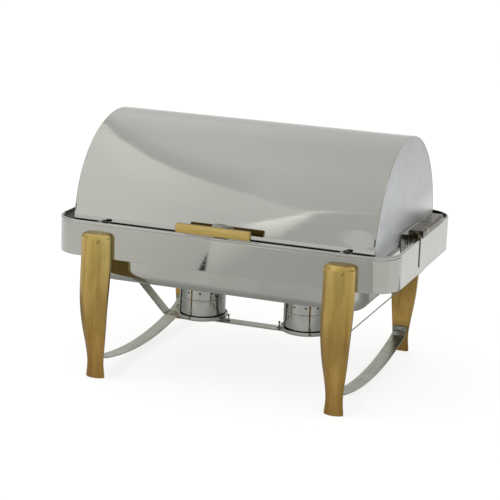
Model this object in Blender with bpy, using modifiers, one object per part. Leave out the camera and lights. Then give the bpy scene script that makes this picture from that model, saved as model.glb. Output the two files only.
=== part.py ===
"""Roll-top chafing dish: a half-cylinder lid that rolls under a water pan, on four brass legs.

Units are metres, +Z is up, +X runs along the length and -Y is the serving side.
The origin is on the floor, under the middle of the dish.
"""

from math import cos, pi, radians, sin, sqrt

import bmesh
import bpy
from mathutils import Matrix, Vector

GAP = 0.0003                      # clearance between pieces that touch

# Apron: the rounded rectangular band that everything hangs on
APRON_LENGTH = 0.650
APRON_DEPTH = 0.408
APRON_CORNER = 0.052
APRON_BOTTOM = 0.226
APRON_TOP = 0.292
APRON_SHEET = 0.0015
APRON_LIP = 0.007
APRON_HEM = 0.005
APRON_EDGE = 0.0015

# Lid: half a cylinder about the pivot
PIVOT_Z = 0.275
LID_RADIUS = 0.191
LID_SHEET = 0.0015
LID_LENGTH = 0.572
LID_STEPS = 48
END_OUTER_X = LID_LENGTH / 2 - GAP
END_INNER_X = END_OUTER_X - LID_SHEET
HUB_RADIUS = 0.014
HUB_THICKNESS = 0.0027
BORE_RADIUS = 0.004

# Hinge hardware at each end of the lid
SHANK_RADIUS = 0.0035
BOLT_HEAD_RADIUS = 0.007
BOLT_HEAD_THICKNESS = 0.0032
BOLT_TIP = 0.0058                 # how far the shank runs inside the rail
NUT_RADIUS = 0.0068
NUT_THICKNESS = 0.0042
WASHER_RADIUS = 0.009
BRACKET_SHEET = 0.0015
BRACKET_BEND = 0.003
BRACKET_INNER_X = LID_LENGTH / 2 + 0.00325
BRACKET_TOP_Z = APRON_TOP + 0.0055
BRACKET_FRONT_Y = -0.041
BRACKET_REAR_Y = 0.057
BRACKET_LOW_INNER = 0.262
BRACKET_LOW_OUTER = 0.240
COVER_INNER_X = LID_LENGTH / 2 + 0.001
COVER_FRONT_Y = -0.050
COVER_REAR_Y = 0.116
COVER_TOP = 0.306
COVER_CORNER = 0.009
COVER_EDGE = 0.005
COVER_SHEET = 0.0012

# Supports inside the apron
LEDGE_SHEET = 0.0015
LEDGE_HALF_LENGTH = 0.278
LEDGE_WALL_Y = 0.2006
LEDGE_STEP_Y = 0.1875
LEDGE_INNER_Y = 0.1740
LEDGE_FOOT_Z = 0.250
LEDGE_TOP_Z = PIVOT_Z - 0.0013
RAIL_SHELF_TOP = 0.2617
RAIL_WEB_X = 0.279
RAIL_WEB_THICKNESS = 0.002
RAIL_SHELF_INNER_X = 0.267
RAIL_WEB_TOP = 0.281
RAIL_FRONT_Y = -0.1862
RAIL_REAR_Y = 0.172

# Pans
WATER_LENGTH = 0.532
WATER_DEPTH = 0.344
WATER_CORNER = 0.042
WATER_BOTTOM = 0.172
WATER_EDGE = 0.028
WATER_SHEET = 0.0012
WATER_TAPER = 0.002
WATER_FLANGE_X = 0.2725
WATER_FLANGE_Y = 0.184
REST_OPENING = (0.509, 0.303)
REST_SHEET = 0.0015
REST_HEM = 0.0055
FOOD_RIM = (0.530, 0.325)
FOOD_BODY = (0.505, 0.299)
FOOD_DEPTH = 0.065
FOOD_SHEET = 0.001
FOOD_TAPER = 0.0075
FOOD_EDGE = 0.016
FOOD_CORNER = 0.045
PAN_LEAST_CORNER = 0.008

# Legs: half widths at heights above the floor, and a bow away from the dish
LEG_X = 0.2310
LEG_BACK_Y = APRON_DEPTH / 2 + GAP
LEG_TOP = 0.274
LEG_SHOULDER = 0.010
LEG_KNEE_Z = 0.200
LEG_THIN = 0.0115
LEG_THICK = 0.0210
LEG_OUTLINE = (
    (0.000, 0.0180), (0.008, 0.0174), (0.020, 0.0161), (0.034, 0.0158), (0.060, 0.0183),
    (0.095, 0.0226), (0.130, 0.0257), (0.165, 0.0277), (0.205, 0.0287), (0.245, 0.0287),
)
LEG_BOW = 0.0085
LEG_BOW_LOW = 0.030
LEG_BOW_HIGH = 0.236
LEG_SCREW_Z = 0.2605
LEG_SCREW_X = 0.009                # to the right of a leg's middle, seen from outside
LEG_SCREW_RADIUS = 0.0035
LEG_SCREW_HEIGHT = 0.0016

# Stretchers: flat arcs that tie the front and rear legs
STRETCHER_WIDTH = 0.028
STRETCHER_SHEET = 0.0018
STRETCHER_LOW_Z = 0.0125
STRETCHER_RISE = 0.024
STRETCHER_CORNER = 0.012
STRETCHER_TAB_TOP = 0.051
STRETCHER_SCREW_Z = 0.0455

# Burner strap and fuel holders
STRAP_WIDTH = 0.028
STRAP_SHEET = 0.002
STRAP_Z = 0.0765
STRAP_BEND_X = 0.179
STRAP_BEND = 0.008
STRAP_TAB_FOOT = APRON_BOTTOM - 0.002
STRAP_TAB_TOP = 0.248
STRAP_RIVET_Z = 0.238
RIVET_RADIUS = 0.0045
RIVET_HEIGHT = 0.0022
STUD_HEIGHT = 0.013
BURNER_X = 0.1055
BASE_RADIUS = 0.049
BASE_FOOT_RADIUS = 0.034
BASE_FOOT = 0.0035
BASE_FLOOR = 0.0017
BASE_WALL = 0.0018
BASE_RIM_TOP = STRAP_Z + 0.013
CUP_RADIUS = 0.044
CUP_TOP = STRAP_Z + 0.0445
CUP_SHEET = 0.001
CUP_LIP = 0.0006
CUP_LIP_DEPTH = 0.003
CROWN_TOP = STRAP_Z + 0.0755
CROWN_SHEET = 0.0012
CROWN_SHOULDER = 0.005
MOUTH_RADIUS = 0.025
DAMPER_RADIUS = 0.028
DAMPER_REACH = 0.035
DAMPER_SWING = 100.0              # degrees between open and closed
DAMPER_SHEET = 0.0012
DAMPER_EYE = 0.0062
DAMPER_BORE = 0.0028
DAMPER_SPREAD = 0.40              # half the angle that the arm takes from the disc's rim
DAMPER_KNOB_REACH = 0.054

# Handle
HANDLE_LENGTH = 0.141
HANDLE_HEIGHT = 0.017
HANDLE_THICKNESS = 0.010
HANDLE_FRONT_Y = -0.229
HANDLE_Z = 0.3068
HANDLE_EDGE = 0.0022
MOUNT_WIDTH = 0.032
MOUNT_HEIGHT = 0.012
MOUNT_EDGE = 0.0015
MOUNT_OVERLAP = 0.006             # how far the stand-off runs into its cutter

# Bumpers on the apron's front lip, each with its rivet on the left
BUMPER_RIVET_X = 0.229
BUMPER_RIVET_Y = -APRON_DEPTH / 2 + 0.0044
BUMPER_BESIDE = 0.0095
BUMPER_Y = -APRON_DEPTH / 2 + 0.0054
BUMPER_SIZE = (0.010, 0.0064, 0.0047)
BUMPER_EDGE = 0.0012

SIDES = (("left", -1), ("right", 1))
ENDS = (("front", -1), ("rear", 1))

COLORS = {
    "stainless": ((0.66, 0.66, 0.64), 0.10, 1.0),
    "brushed_steel": ((0.56, 0.56, 0.54), 0.30, 1.0),
    "brass": ((0.74, 0.56, 0.27), 0.22, 1.0),
    "fastener": ((0.50, 0.50, 0.50), 0.28, 1.0),
    "rubber": ((0.02, 0.02, 0.02), 0.75, 0.0),
}


def clear_scene():
    for obj in list(bpy.data.objects):
        bpy.data.objects.remove(obj, do_unlink=True)


def make_collection(name):
    collection = bpy.data.collections.new(name)
    bpy.context.scene.collection.children.link(collection)
    return collection


def make_material(slot, name):
    color, roughness, metallic = COLORS[slot]
    material = bpy.data.materials.new(name)
    material.use_nodes = True
    shader = material.node_tree.nodes["Principled BSDF"]
    shader.inputs["Base Color"].default_value = (*color, 1.0)
    shader.inputs["Roughness"].default_value = roughness
    shader.inputs["Metallic"].default_value = metallic
    return material


def add_object(name, mesh, slot):
    """Link a mesh into the part's collection with its own material."""
    obj = bpy.data.objects.new(name, mesh)
    mesh.materials.append(make_material(slot, name + "_finish"))
    PART.objects.link(obj)
    return obj


def add_pivot(name, place):
    """An empty on a joint's axis, for the pieces that move with it."""
    empty = bpy.data.objects.new(name, None)
    empty.empty_display_size = 0.02
    empty.location = place
    PART.objects.link(empty)
    return empty


def hang_on(empty, *pieces):
    """Parent pieces to an unturned empty and leave them where they stand."""
    for piece in pieces:
        piece.parent = empty
        piece.location -= empty.location


def mesh_from(bm, name, smooth=False):
    mesh = bpy.data.meshes.new(name)
    bm.to_mesh(mesh)
    bm.free()
    if smooth:
        mesh.shade_smooth()
        mesh.set_sharp_from_angle(angle=radians(35))
    return mesh


def solidify(obj, thickness, offset):
    modifier = obj.modifiers.new("sheet", "SOLIDIFY")
    modifier.thickness = thickness
    modifier.offset = offset
    modifier.use_even_offset = True


def bevel(obj, width, segments=2):
    modifier = obj.modifiers.new("edges", "BEVEL")
    modifier.width = width
    modifier.segments = segments
    modifier.limit_method = "ANGLE"
    modifier.angle_limit = radians(40)


def add_box(bm, low, high):
    """Add an axis-aligned box to a bmesh."""
    size = Vector(high) - Vector(low)
    centre = (Vector(high) + Vector(low)) / 2
    matrix = Matrix.Translation(centre) @ Matrix.Diagonal((*size, 1.0))
    bmesh.ops.create_cube(bm, size=1.0, matrix=matrix)


def axis_matrix(axis, centre):
    """A matrix that lays local Z along a world axis, at a centre."""
    turn = Vector((0, 0, 1)).rotation_difference(Vector(axis)).to_matrix().to_4x4()
    return Matrix.Translation(Vector(centre)) @ turn


def add_rod(bm, start, end, radius, radius_end=None, segments=16):
    """Add a closed cylinder, or a cone, between two points."""
    start = Vector(start)
    end = Vector(end)
    matrix = axis_matrix((end - start).normalized(), (start + end) / 2)
    bmesh.ops.create_cone(
        bm,
        cap_ends=True,
        segments=segments,
        radius1=radius,
        radius2=radius if radius_end is None else radius_end,
        depth=(end - start).length,
        matrix=matrix,
    )


def bridge(bm, low, high):
    """Join two closed loops of the same length with quads."""
    count = len(low)
    for k in range(count):
        nxt = (k + 1) % count
        bm.faces.new((low[k], low[nxt], high[nxt], high[k]))


def rounded_rectangle(half_x, half_y, radius, z, steps=5, centre=(0.0, 0.0)):
    """Points of a rounded rectangle, counter-clockwise seen from above."""
    points = []
    corners = ((1, 1, 0), (-1, 1, 90), (-1, -1, 180), (1, -1, 270))
    for sign_x, sign_y, start in corners:
        for k in range(steps + 1):
            angle = radians(start + 90 * k / steps)
            x = centre[0] + sign_x * (half_x - radius) + radius * cos(angle)
            y = centre[1] + sign_y * (half_y - radius) + radius * sin(angle)
            points.append(Vector((x, y, z)))
    return points


def loft(name, loops, thickness, slot, cap_first=False, cap_last=False):
    """A pressed shell: an open surface through the loops, with its sheet on the inner side."""
    bm = bmesh.new()
    rings = [[bm.verts.new(point) for point in loop] for loop in loops]
    for low, high in zip(rings, rings[1:]):
        bridge(bm, low, high)
    if cap_first:
        bm.faces.new(list(reversed(rings[0])))
    if cap_last:
        bm.faces.new(rings[-1])
    obj = add_object(name, mesh_from(bm, name, smooth=True), slot)
    solidify(obj, thickness, -1.0)
    return obj


def turned(name, profile, slot, centre, steps=32):
    """A turned piece: its section runs down the outer side, from the axis or back to its start."""
    bm = bmesh.new()
    verts = [bm.verts.new((radius, 0.0, z)) for radius, z in profile]
    for start, end in zip(verts, verts[1:]):
        bm.edges.new((start, end))
    if profile[0][0] > 0.0:
        bm.edges.new((verts[-1], verts[0]))
    obj = add_object(name, mesh_from(bm, name), slot)
    obj.location = centre
    screw = obj.modifiers.new("turning", "SCREW")
    screw.steps = steps
    screw.render_steps = steps
    screw.use_merge_vertices = True
    screw.merge_threshold = 0.00005
    return obj


def fastener(name, base, axis, radius, height, slot="fastener", steps=12):
    """A low domed head standing on a face, its flat side at the base."""
    profile = (
        (0.0, height), (0.42 * radius, height), (0.80 * radius, 0.82 * height),
        (radius, 0.45 * height), (radius, 0.0), (0.0, 0.0),
    )
    obj = turned(name, profile, slot, base, steps)
    obj.rotation_mode = "QUATERNION"
    obj.rotation_quaternion = Vector(axis).to_track_quat("Z", "Y")
    return obj


def fillet(path, radius, steps=4):
    """Round the inner corners of an open path of (u, v) points."""
    rounded = [Vector(path[0])]
    for before, corner, after in zip(path, path[1:], path[2:]):
        before, corner, after = Vector(before), Vector(corner), Vector(after)
        to_before = (before - corner).normalized()
        to_after = (after - corner).normalized()
        half_angle = to_before.angle(to_after) / 2
        reach = radius * cos(half_angle) / sin(half_angle)
        centre = corner + (to_before + to_after).normalized() * radius / sin(half_angle)
        first = corner + to_before * reach - centre
        last = corner + to_after * reach - centre
        sweep = first.angle(last)
        for k in range(steps + 1):
            share = k / steps
            weight_first = sin((1 - share) * sweep) / sin(sweep)
            weight_last = sin(share * sweep) / sin(sweep)
            rounded.append(centre + first * weight_first + last * weight_last)
    rounded.append(Vector(path[-1]))
    return rounded


def bent_strip(name, path, plane, low, high, thickness, slot, smooth=True):
    """A bent flat bar: a path in the XZ or YZ plane, drawn out from low to high."""
    bm = bmesh.new()
    rows = []
    for u, v in path:
        if plane == "XZ":
            pair = (Vector((u, low, v)), Vector((u, high, v)))
        else:
            pair = (Vector((low, u, v)), Vector((high, u, v)))
        rows.append([bm.verts.new(point) for point in pair])
    for first, second in zip(rows, rows[1:]):
        bm.faces.new((first[0], first[1], second[1], second[0]))
    obj = add_object(name, mesh_from(bm, name, smooth=smooth), slot)
    solidify(obj, thickness, 0.0)
    return obj


def circle(radius, steps, centre=(0.0, 0.0)):
    return [
        (centre[0] + radius * cos(2 * pi * k / steps), centre[1] + radius * sin(2 * pi * k / steps))
        for k in range(steps)
    ]


def flat_plate(name, outlines, thickness, slot):
    """A flat plate from closed outlines; outlines inside the first one are holes."""
    curve = bpy.data.curves.new(name, "CURVE")
    curve.dimensions = "2D"
    curve.fill_mode = "BOTH"
    curve.extrude = thickness / 2
    for outline in outlines:
        spline = curve.splines.new("POLY")
        spline.points.add(len(outline) - 1)
        for point, (u, v) in zip(spline.points, outline):
            point.co = (u, v, 0.0, 1.0)
        spline.use_cyclic_u = True
    return add_object(name, curve, slot)


def stand_on_end(obj, x, y=0.0, z=PIVOT_Z):
    """Turn a plate's own X and Y along world Y and Z, with its thickness along X."""
    obj.rotation_euler = (radians(90), 0.0, radians(90))
    obj.location = (x, y, z)
    return obj


def cut_round(obj, name, middle_x, reach, radius, segments):
    """Cut a round hole along X about the pivot's axis, with a cutter in its own collection."""
    bm = bmesh.new()
    start = (middle_x - reach, 0.0, PIVOT_Z)
    end = (middle_x + reach, 0.0, PIVOT_Z)
    add_rod(bm, start, end, radius, segments=segments)
    cutter = bpy.data.objects.new(name, mesh_from(bm, name))
    cutter.hide_render = True
    cutter.display_type = "WIRE"
    CUTTERS.objects.link(cutter)
    modifier = obj.modifiers.new("bore", "BOOLEAN")
    modifier.operation = "DIFFERENCE"
    modifier.solver = "EXACT"
    modifier.object = cutter


def cut_bore(obj, name, middle_x):
    """Drill the pivot bolt's hole through a sheet that stands at one place along X."""
    cut_round(obj, name, middle_x, BORE_RADIUS, BORE_RADIUS, 24)


def make_apron():
    """The band, its rolled top edge and the turned-down hem inside the lip."""
    half_x = APRON_LENGTH / 2
    half_y = APRON_DEPTH / 2
    stations = (
        (0.0, APRON_BOTTOM),
        (0.0, APRON_TOP - APRON_EDGE),
        (APRON_EDGE, APRON_TOP),
        (APRON_LIP, APRON_TOP),
        (APRON_LIP, APRON_TOP - APRON_HEM),
    )
    loops = [
        rounded_rectangle(half_x - inset, half_y - inset, APRON_CORNER - inset, z, steps=8)
        for inset, z in stations
    ]
    loft("apron_frame", loops, APRON_SHEET, "stainless")


def smooth_step(share):
    share = min(max(share, 0.0), 1.0)
    return share * share * (3 - 2 * share)


def leg_thickness(z):
    """Depth of a leg from its flat back to its crown."""
    return LEG_THIN + (LEG_THICK - LEG_THIN) * smooth_step(z / LEG_KNEE_Z)


def leg_bow(z):
    """How far a leg's section stands out from the dish, straight at both its fixings."""
    share = min(max((z - LEG_BOW_LOW) / (LEG_BOW_HIGH - LEG_BOW_LOW), 0.0), 1.0)
    return LEG_BOW * sin(pi * share) ** 2


def leg_section(z, half_width, thickness):
    """A D-shaped section with a flat back and a crowned front towards -Y."""
    back = -leg_bow(z)
    side = 0.45 * thickness
    front_steps = 8
    points = [Vector((half_width, back, z)), Vector((-half_width, back, z))]
    for k in range(front_steps + 1):
        share = -1.0 + 2.0 * k / front_steps
        crown = 1.0 - abs(share) ** 2.4
        front = back - side - (thickness - side) * crown
        points.append(Vector((half_width * share, front, z)))
    return points


def make_leg(name, sign_x, sign_y):
    """One cast leg, hung outside the apron with its back against the band."""
    sections = [(z, half_width, leg_thickness(z)) for z, half_width in LEG_OUTLINE]
    top_half_width = LEG_OUTLINE[-1][1]
    steps = 4
    for k in range(steps + 1):
        angle = radians(90) * k / steps
        z = LEG_TOP - LEG_SHOULDER * (1 - sin(angle))
        narrowing = LEG_SHOULDER * (1 - cos(angle))
        sections.append((z, top_half_width - narrowing, LEG_THICK - 0.5 * narrowing))
    bm = bmesh.new()
    rings = []
    for z, half_width, thickness in sections:
        loop = leg_section(z, half_width, thickness)
        rings.append([bm.verts.new(point) for point in reversed(loop)])
    bm.faces.new(rings[0])
    bm.faces.new(list(reversed(rings[-1])))
    for low, high in zip(rings, rings[1:]):
        bridge(bm, high, low)
    bmesh.ops.recalc_face_normals(bm, faces=bm.faces)
    obj = add_object(name, mesh_from(bm, name, smooth=True), "brass")
    obj.location = (sign_x * LEG_X, sign_y * LEG_BACK_Y, 0.0)
    if sign_y > 0:
        obj.rotation_euler = (0.0, 0.0, radians(180))


def make_legs():
    screw_y = LEG_BACK_Y + leg_thickness(LEG_SCREW_Z) + GAP
    for side, sign_x in SIDES:
        for end, sign_y in ENDS:
            make_leg(f"leg_{end}_{side}", sign_x, sign_y)
            base = (sign_x * LEG_X - sign_y * LEG_SCREW_X, sign_y * screw_y, LEG_SCREW_Z)
            outward = (0, sign_y, 0)
            fastener(f"leg_screw_{end}_{side}", base, outward, LEG_SCREW_RADIUS, LEG_SCREW_HEIGHT)


def make_stretchers():
    """Flat arcs between the front and rear legs, with upright tabs at their ends."""
    tab_y = LEG_BACK_Y - GAP - STRETCHER_SHEET / 2
    tab_foot = STRETCHER_LOW_Z + STRETCHER_RISE + STRETCHER_CORNER / 3
    curve_radius = (tab_y ** 2 + STRETCHER_RISE ** 2) / (2 * STRETCHER_RISE)
    arc_reach = tab_y - STRETCHER_CORNER
    steps = 16
    path = [(-tab_y, STRETCHER_TAB_TOP), (-tab_y, tab_foot)]
    for k in range(steps + 1):
        y = -arc_reach + 2 * arc_reach * k / steps
        path.append((y, STRETCHER_LOW_Z + curve_radius - sqrt(curve_radius ** 2 - y ** 2)))
    path.append((tab_y, tab_foot))
    path.append((tab_y, STRETCHER_TAB_TOP))
    for side, sign_x in SIDES:
        centre = sign_x * LEG_X
        low = centre - STRETCHER_WIDTH / 2
        high = centre + STRETCHER_WIDTH / 2
        bent_strip("stretcher_" + side, path, "YZ", low, high, STRETCHER_SHEET, "brushed_steel")
        for end, sign_y in ENDS:
            base = (centre, sign_y * (tab_y - STRETCHER_SHEET / 2 - GAP), STRETCHER_SCREW_Z)
            inward = (0, -sign_y, 0)
            fastener(f"stretcher_screw_{end}_{side}", base, inward, RIVET_RADIUS, RIVET_HEIGHT)


def make_strap():
    """The flat strap that carries the fuel holders, slung between the apron's ends."""
    wall_x = APRON_LENGTH / 2 - APRON_SHEET - GAP - STRAP_SHEET / 2
    path = (
        (-wall_x, STRAP_TAB_TOP),
        (-wall_x, STRAP_TAB_FOOT),
        (-STRAP_BEND_X, STRAP_Z),
        (STRAP_BEND_X, STRAP_Z),
        (wall_x, STRAP_TAB_FOOT),
        (wall_x, STRAP_TAB_TOP),
    )
    half = STRAP_WIDTH / 2
    rounded = fillet(path, STRAP_BEND)
    bent_strip("burner_strap", rounded, "XZ", -half, half, STRAP_SHEET, "brushed_steel")
    top = STRAP_Z + STRAP_SHEET / 2 + GAP
    for side, sign_x in SIDES:
        rivet_base = (sign_x * (wall_x - STRAP_SHEET / 2 - GAP), 0.0, STRAP_RIVET_Z)
        inward = (-sign_x, 0, 0)
        fastener("strap_rivet_" + side, rivet_base, inward, RIVET_RADIUS, RIVET_HEIGHT)
        stud_x = sign_x * (BURNER_X - BASE_RADIUS - RIVET_RADIUS - 2 * GAP)
        fastener("burner_stud_" + side, (stud_x, 0.0, top), (0, 0, 1), RIVET_RADIUS, STUD_HEIGHT)


def make_supports():
    """The stepped front ledge and the two rails that the water pan sits on."""
    shelf_z = RAIL_SHELF_TOP - RAIL_WEB_THICKNESS - GAP - LEDGE_SHEET / 2
    path = (
        (-LEDGE_WALL_Y, LEDGE_FOOT_Z),
        (-LEDGE_WALL_Y, LEDGE_TOP_Z),
        (-LEDGE_STEP_Y, LEDGE_TOP_Z),
        (-LEDGE_STEP_Y, shelf_z),
        (-LEDGE_INNER_Y, shelf_z),
    )
    low, high = -LEDGE_HALF_LENGTH, LEDGE_HALF_LENGTH
    bent_strip("front_ledge", path, "YZ", low, high, LEDGE_SHEET, "brushed_steel", smooth=False)
    for side, sign_x in SIDES:
        make_rail(side, sign_x)


def make_rail(side, sign_x):
    """An angle bar inside the lid's end, carried by the pivot bolt and the front ledge."""
    shelf_z = RAIL_SHELF_TOP - RAIL_WEB_THICKNESS / 2
    path = (
        (sign_x * RAIL_WEB_X, RAIL_WEB_TOP),
        (sign_x * RAIL_WEB_X, shelf_z),
        (sign_x * RAIL_SHELF_INNER_X, shelf_z),
    )
    rail = bent_strip(
        "pan_rail_" + side, path, "XZ", RAIL_FRONT_Y, RAIL_REAR_Y, RAIL_WEB_THICKNESS,
        "brushed_steel", smooth=False,
    )
    cut_bore(rail, "rail_bore_" + side, sign_x * RAIL_WEB_X)


def make_hinge(side, sign_x):
    """A saddle bracket over the apron's end, its cover, and the bolt that the lid turns on."""
    outer_x = APRON_LENGTH / 2 + GAP + BRACKET_SHEET / 2
    path = (
        (sign_x * BRACKET_INNER_X, BRACKET_LOW_INNER),
        (sign_x * BRACKET_INNER_X, BRACKET_TOP_Z),
        (sign_x * outer_x, BRACKET_TOP_Z),
        (sign_x * outer_x, BRACKET_LOW_OUTER),
    )
    bracket = bent_strip(
        "hinge_bracket_" + side, fillet(path, BRACKET_BEND, steps=3), "XZ", BRACKET_FRONT_Y,
        BRACKET_REAR_Y, BRACKET_SHEET, "stainless",
    )
    cut_bore(bracket, "bracket_bore_" + side, sign_x * BRACKET_INNER_X)

    cover_outer_x = outer_x + BRACKET_SHEET / 2 + GAP + COVER_SHEET
    half_x = (cover_outer_x - COVER_INNER_X) / 2
    half_y = (COVER_REAR_Y - COVER_FRONT_Y) / 2
    centre = (sign_x * (cover_outer_x + COVER_INNER_X) / 2, (COVER_REAR_Y + COVER_FRONT_Y) / 2)
    loops = [rounded_rectangle(half_x, half_y, COVER_CORNER, APRON_TOP + GAP, 4, centre)]
    for k in range(5):
        angle = radians(90) * k / 4
        inset = COVER_EDGE * (1 - cos(angle))
        z = COVER_TOP - COVER_EDGE * (1 - sin(angle))
        loop = rounded_rectangle(half_x - inset, half_y - inset, COVER_CORNER - inset, z, 4, centre)
        loops.append(loop)
    loft("hinge_cover_" + side, loops, COVER_SHEET, "stainless", cap_last=True)

    head_x = BRACKET_INNER_X + BRACKET_SHEET / 2 + GAP
    tip_x = RAIL_WEB_X - BOLT_TIP
    head_end = head_x + BOLT_HEAD_THICKNESS
    bolt = turned(
        "pivot_bolt_" + side,
        (
            (0.0, head_end), (0.70 * BOLT_HEAD_RADIUS, head_end),
            (BOLT_HEAD_RADIUS, head_end - 0.45 * BOLT_HEAD_THICKNESS), (BOLT_HEAD_RADIUS, head_x),
            (SHANK_RADIUS, head_x), (SHANK_RADIUS, tip_x), (0.0, tip_x),
        ),
        "fastener", (0.0, 0.0, PIVOT_Z), steps=24,
    )
    bolt.rotation_euler = (0.0, sign_x * radians(90), 0.0)


def make_hinge_spacers():
    """Washers between bracket and lid, and the nuts inside the rails."""
    washer_low = LID_LENGTH / 2
    washer_high = BRACKET_INNER_X - BRACKET_SHEET / 2 - GAP
    nut_middle = RAIL_WEB_X - RAIL_WEB_THICKNESS / 2 - GAP - NUT_THICKNESS / 2
    for side, sign_x in SIDES:
        washer = flat_plate(
            "pivot_washer_" + side, (circle(WASHER_RADIUS, 24), circle(BORE_RADIUS, 24)),
            washer_high - washer_low, "fastener",
        )
        stand_on_end(washer, sign_x * (washer_low + washer_high) / 2)
        nut = flat_plate(
            "pivot_nut_" + side, (circle(NUT_RADIUS, 6), circle(SHANK_RADIUS + GAP, 24)),
            NUT_THICKNESS, "fastener",
        )
        stand_on_end(nut, sign_x * nut_middle)


def arc(radius, start, end, steps):
    """Points on an arc about the origin, between two angles in radians."""
    angles = [start + (end - start) * k / steps for k in range(steps + 1)]
    return [(radius * cos(angle), radius * sin(angle)) for angle in angles]


def make_lid(pivot):
    """The rolled lid, its end plates and the hubs that turn on the pivot bolts."""
    middle = LID_RADIUS - LID_SHEET / 2
    path = [(-u, PIVOT_Z + v) for u, v in arc(middle, 0.0, pi, LID_STEPS)]
    half = LID_LENGTH / 2
    shell = bent_strip("lid_shell", path, "YZ", -half, half, LID_SHEET, "stainless")
    hang_on(pivot, shell)

    bore = circle(BORE_RADIUS, 24)
    outline = arc(LID_RADIUS - LID_SHEET - GAP, 0.0, pi, LID_STEPS)
    outline += arc(HUB_RADIUS, pi, 2 * pi, 8)
    for side, sign_x in SIDES:
        plate = flat_plate("lid_end_" + side, (outline, bore), LID_SHEET, "stainless")
        stand_on_end(plate, sign_x * (END_OUTER_X + END_INNER_X) / 2)
        hub = flat_plate(
            "lid_hub_" + side, (circle(HUB_RADIUS, 28), bore), HUB_THICKNESS, "brushed_steel"
        )
        stand_on_end(hub, sign_x * (END_INNER_X - GAP - HUB_THICKNESS / 2))
        hang_on(pivot, plate, hub)


def make_handle(pivot):
    """A brass bar on a short stand-off, screwed on from inside the lid."""
    bm = bmesh.new()
    half = HANDLE_LENGTH / 2
    low = (-half, HANDLE_FRONT_Y, HANDLE_Z - HANDLE_HEIGHT / 2)
    high = (half, HANDLE_FRONT_Y + HANDLE_THICKNESS, HANDLE_Z + HANDLE_HEIGHT / 2)
    add_box(bm, low, high)
    bar = add_object("handle_bar", mesh_from(bm, "handle_bar"), "brass")
    bevel(bar, HANDLE_EDGE)

    bm = bmesh.new()
    back_y = -LID_RADIUS + MOUNT_OVERLAP
    front_y = HANDLE_FRONT_Y + HANDLE_THICKNESS + GAP
    low = (-MOUNT_WIDTH / 2, front_y, HANDLE_Z - MOUNT_HEIGHT / 2)
    high = (MOUNT_WIDTH / 2, back_y, HANDLE_Z + MOUNT_HEIGHT / 2)
    add_box(bm, low, high)
    mount = add_object("handle_mount", mesh_from(bm, "handle_mount"), "stainless")
    bevel(mount, MOUNT_EDGE)
    cut_round(mount, "mount_saddle", 0.0, MOUNT_WIDTH, LID_RADIUS + GAP, 96)

    inner = LID_RADIUS - LID_SHEET - 2 * GAP
    rise = (HANDLE_Z - PIVOT_Z) / LID_RADIUS
    outward = Vector((0.0, -sqrt(1 - rise ** 2), rise))
    base = Vector((0.0, 0.0, PIVOT_Z)) + outward * inner
    screw = fastener("handle_screw", base, -outward, RIVET_RADIUS, RIVET_HEIGHT)
    hang_on(pivot, bar, mount, screw)


def make_bumpers():
    """Rubber bumpers on the front lip that centre the lid, each beside its rivet."""
    size = Vector(BUMPER_SIZE)
    for side, sign_x in SIDES:
        rivet_x = sign_x * BUMPER_RIVET_X
        block_x = rivet_x + BUMPER_BESIDE
        low = Vector((block_x - size.x / 2, BUMPER_Y - size.y / 2, APRON_TOP + GAP))
        bm = bmesh.new()
        add_box(bm, low, low + size)
        block = add_object("lid_bumper_" + side, mesh_from(bm, "lid_bumper_" + side), "rubber")
        bevel(block, BUMPER_EDGE)
        base = (rivet_x, BUMPER_RIVET_Y, APRON_TOP + GAP)
        fastener("bumper_rivet_" + side, base, (0, 0, 1), 0.7 * RIVET_RADIUS, RIVET_HEIGHT)


def pan_edge_loops(half_x, half_y, corner, bottom, edge, steps=4):
    """Loops round a pan's bottom edge, from the flat floor up to the wall."""
    loops = []
    for k in range(steps + 1):
        angle = radians(90) * k / steps
        inset = edge * (1 - sin(angle))
        radius = max(corner - inset, PAN_LEAST_CORNER)
        z = bottom + edge * (1 - cos(angle))
        loops.append(rounded_rectangle(half_x - inset, half_y - inset, radius, z))
    return loops


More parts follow.
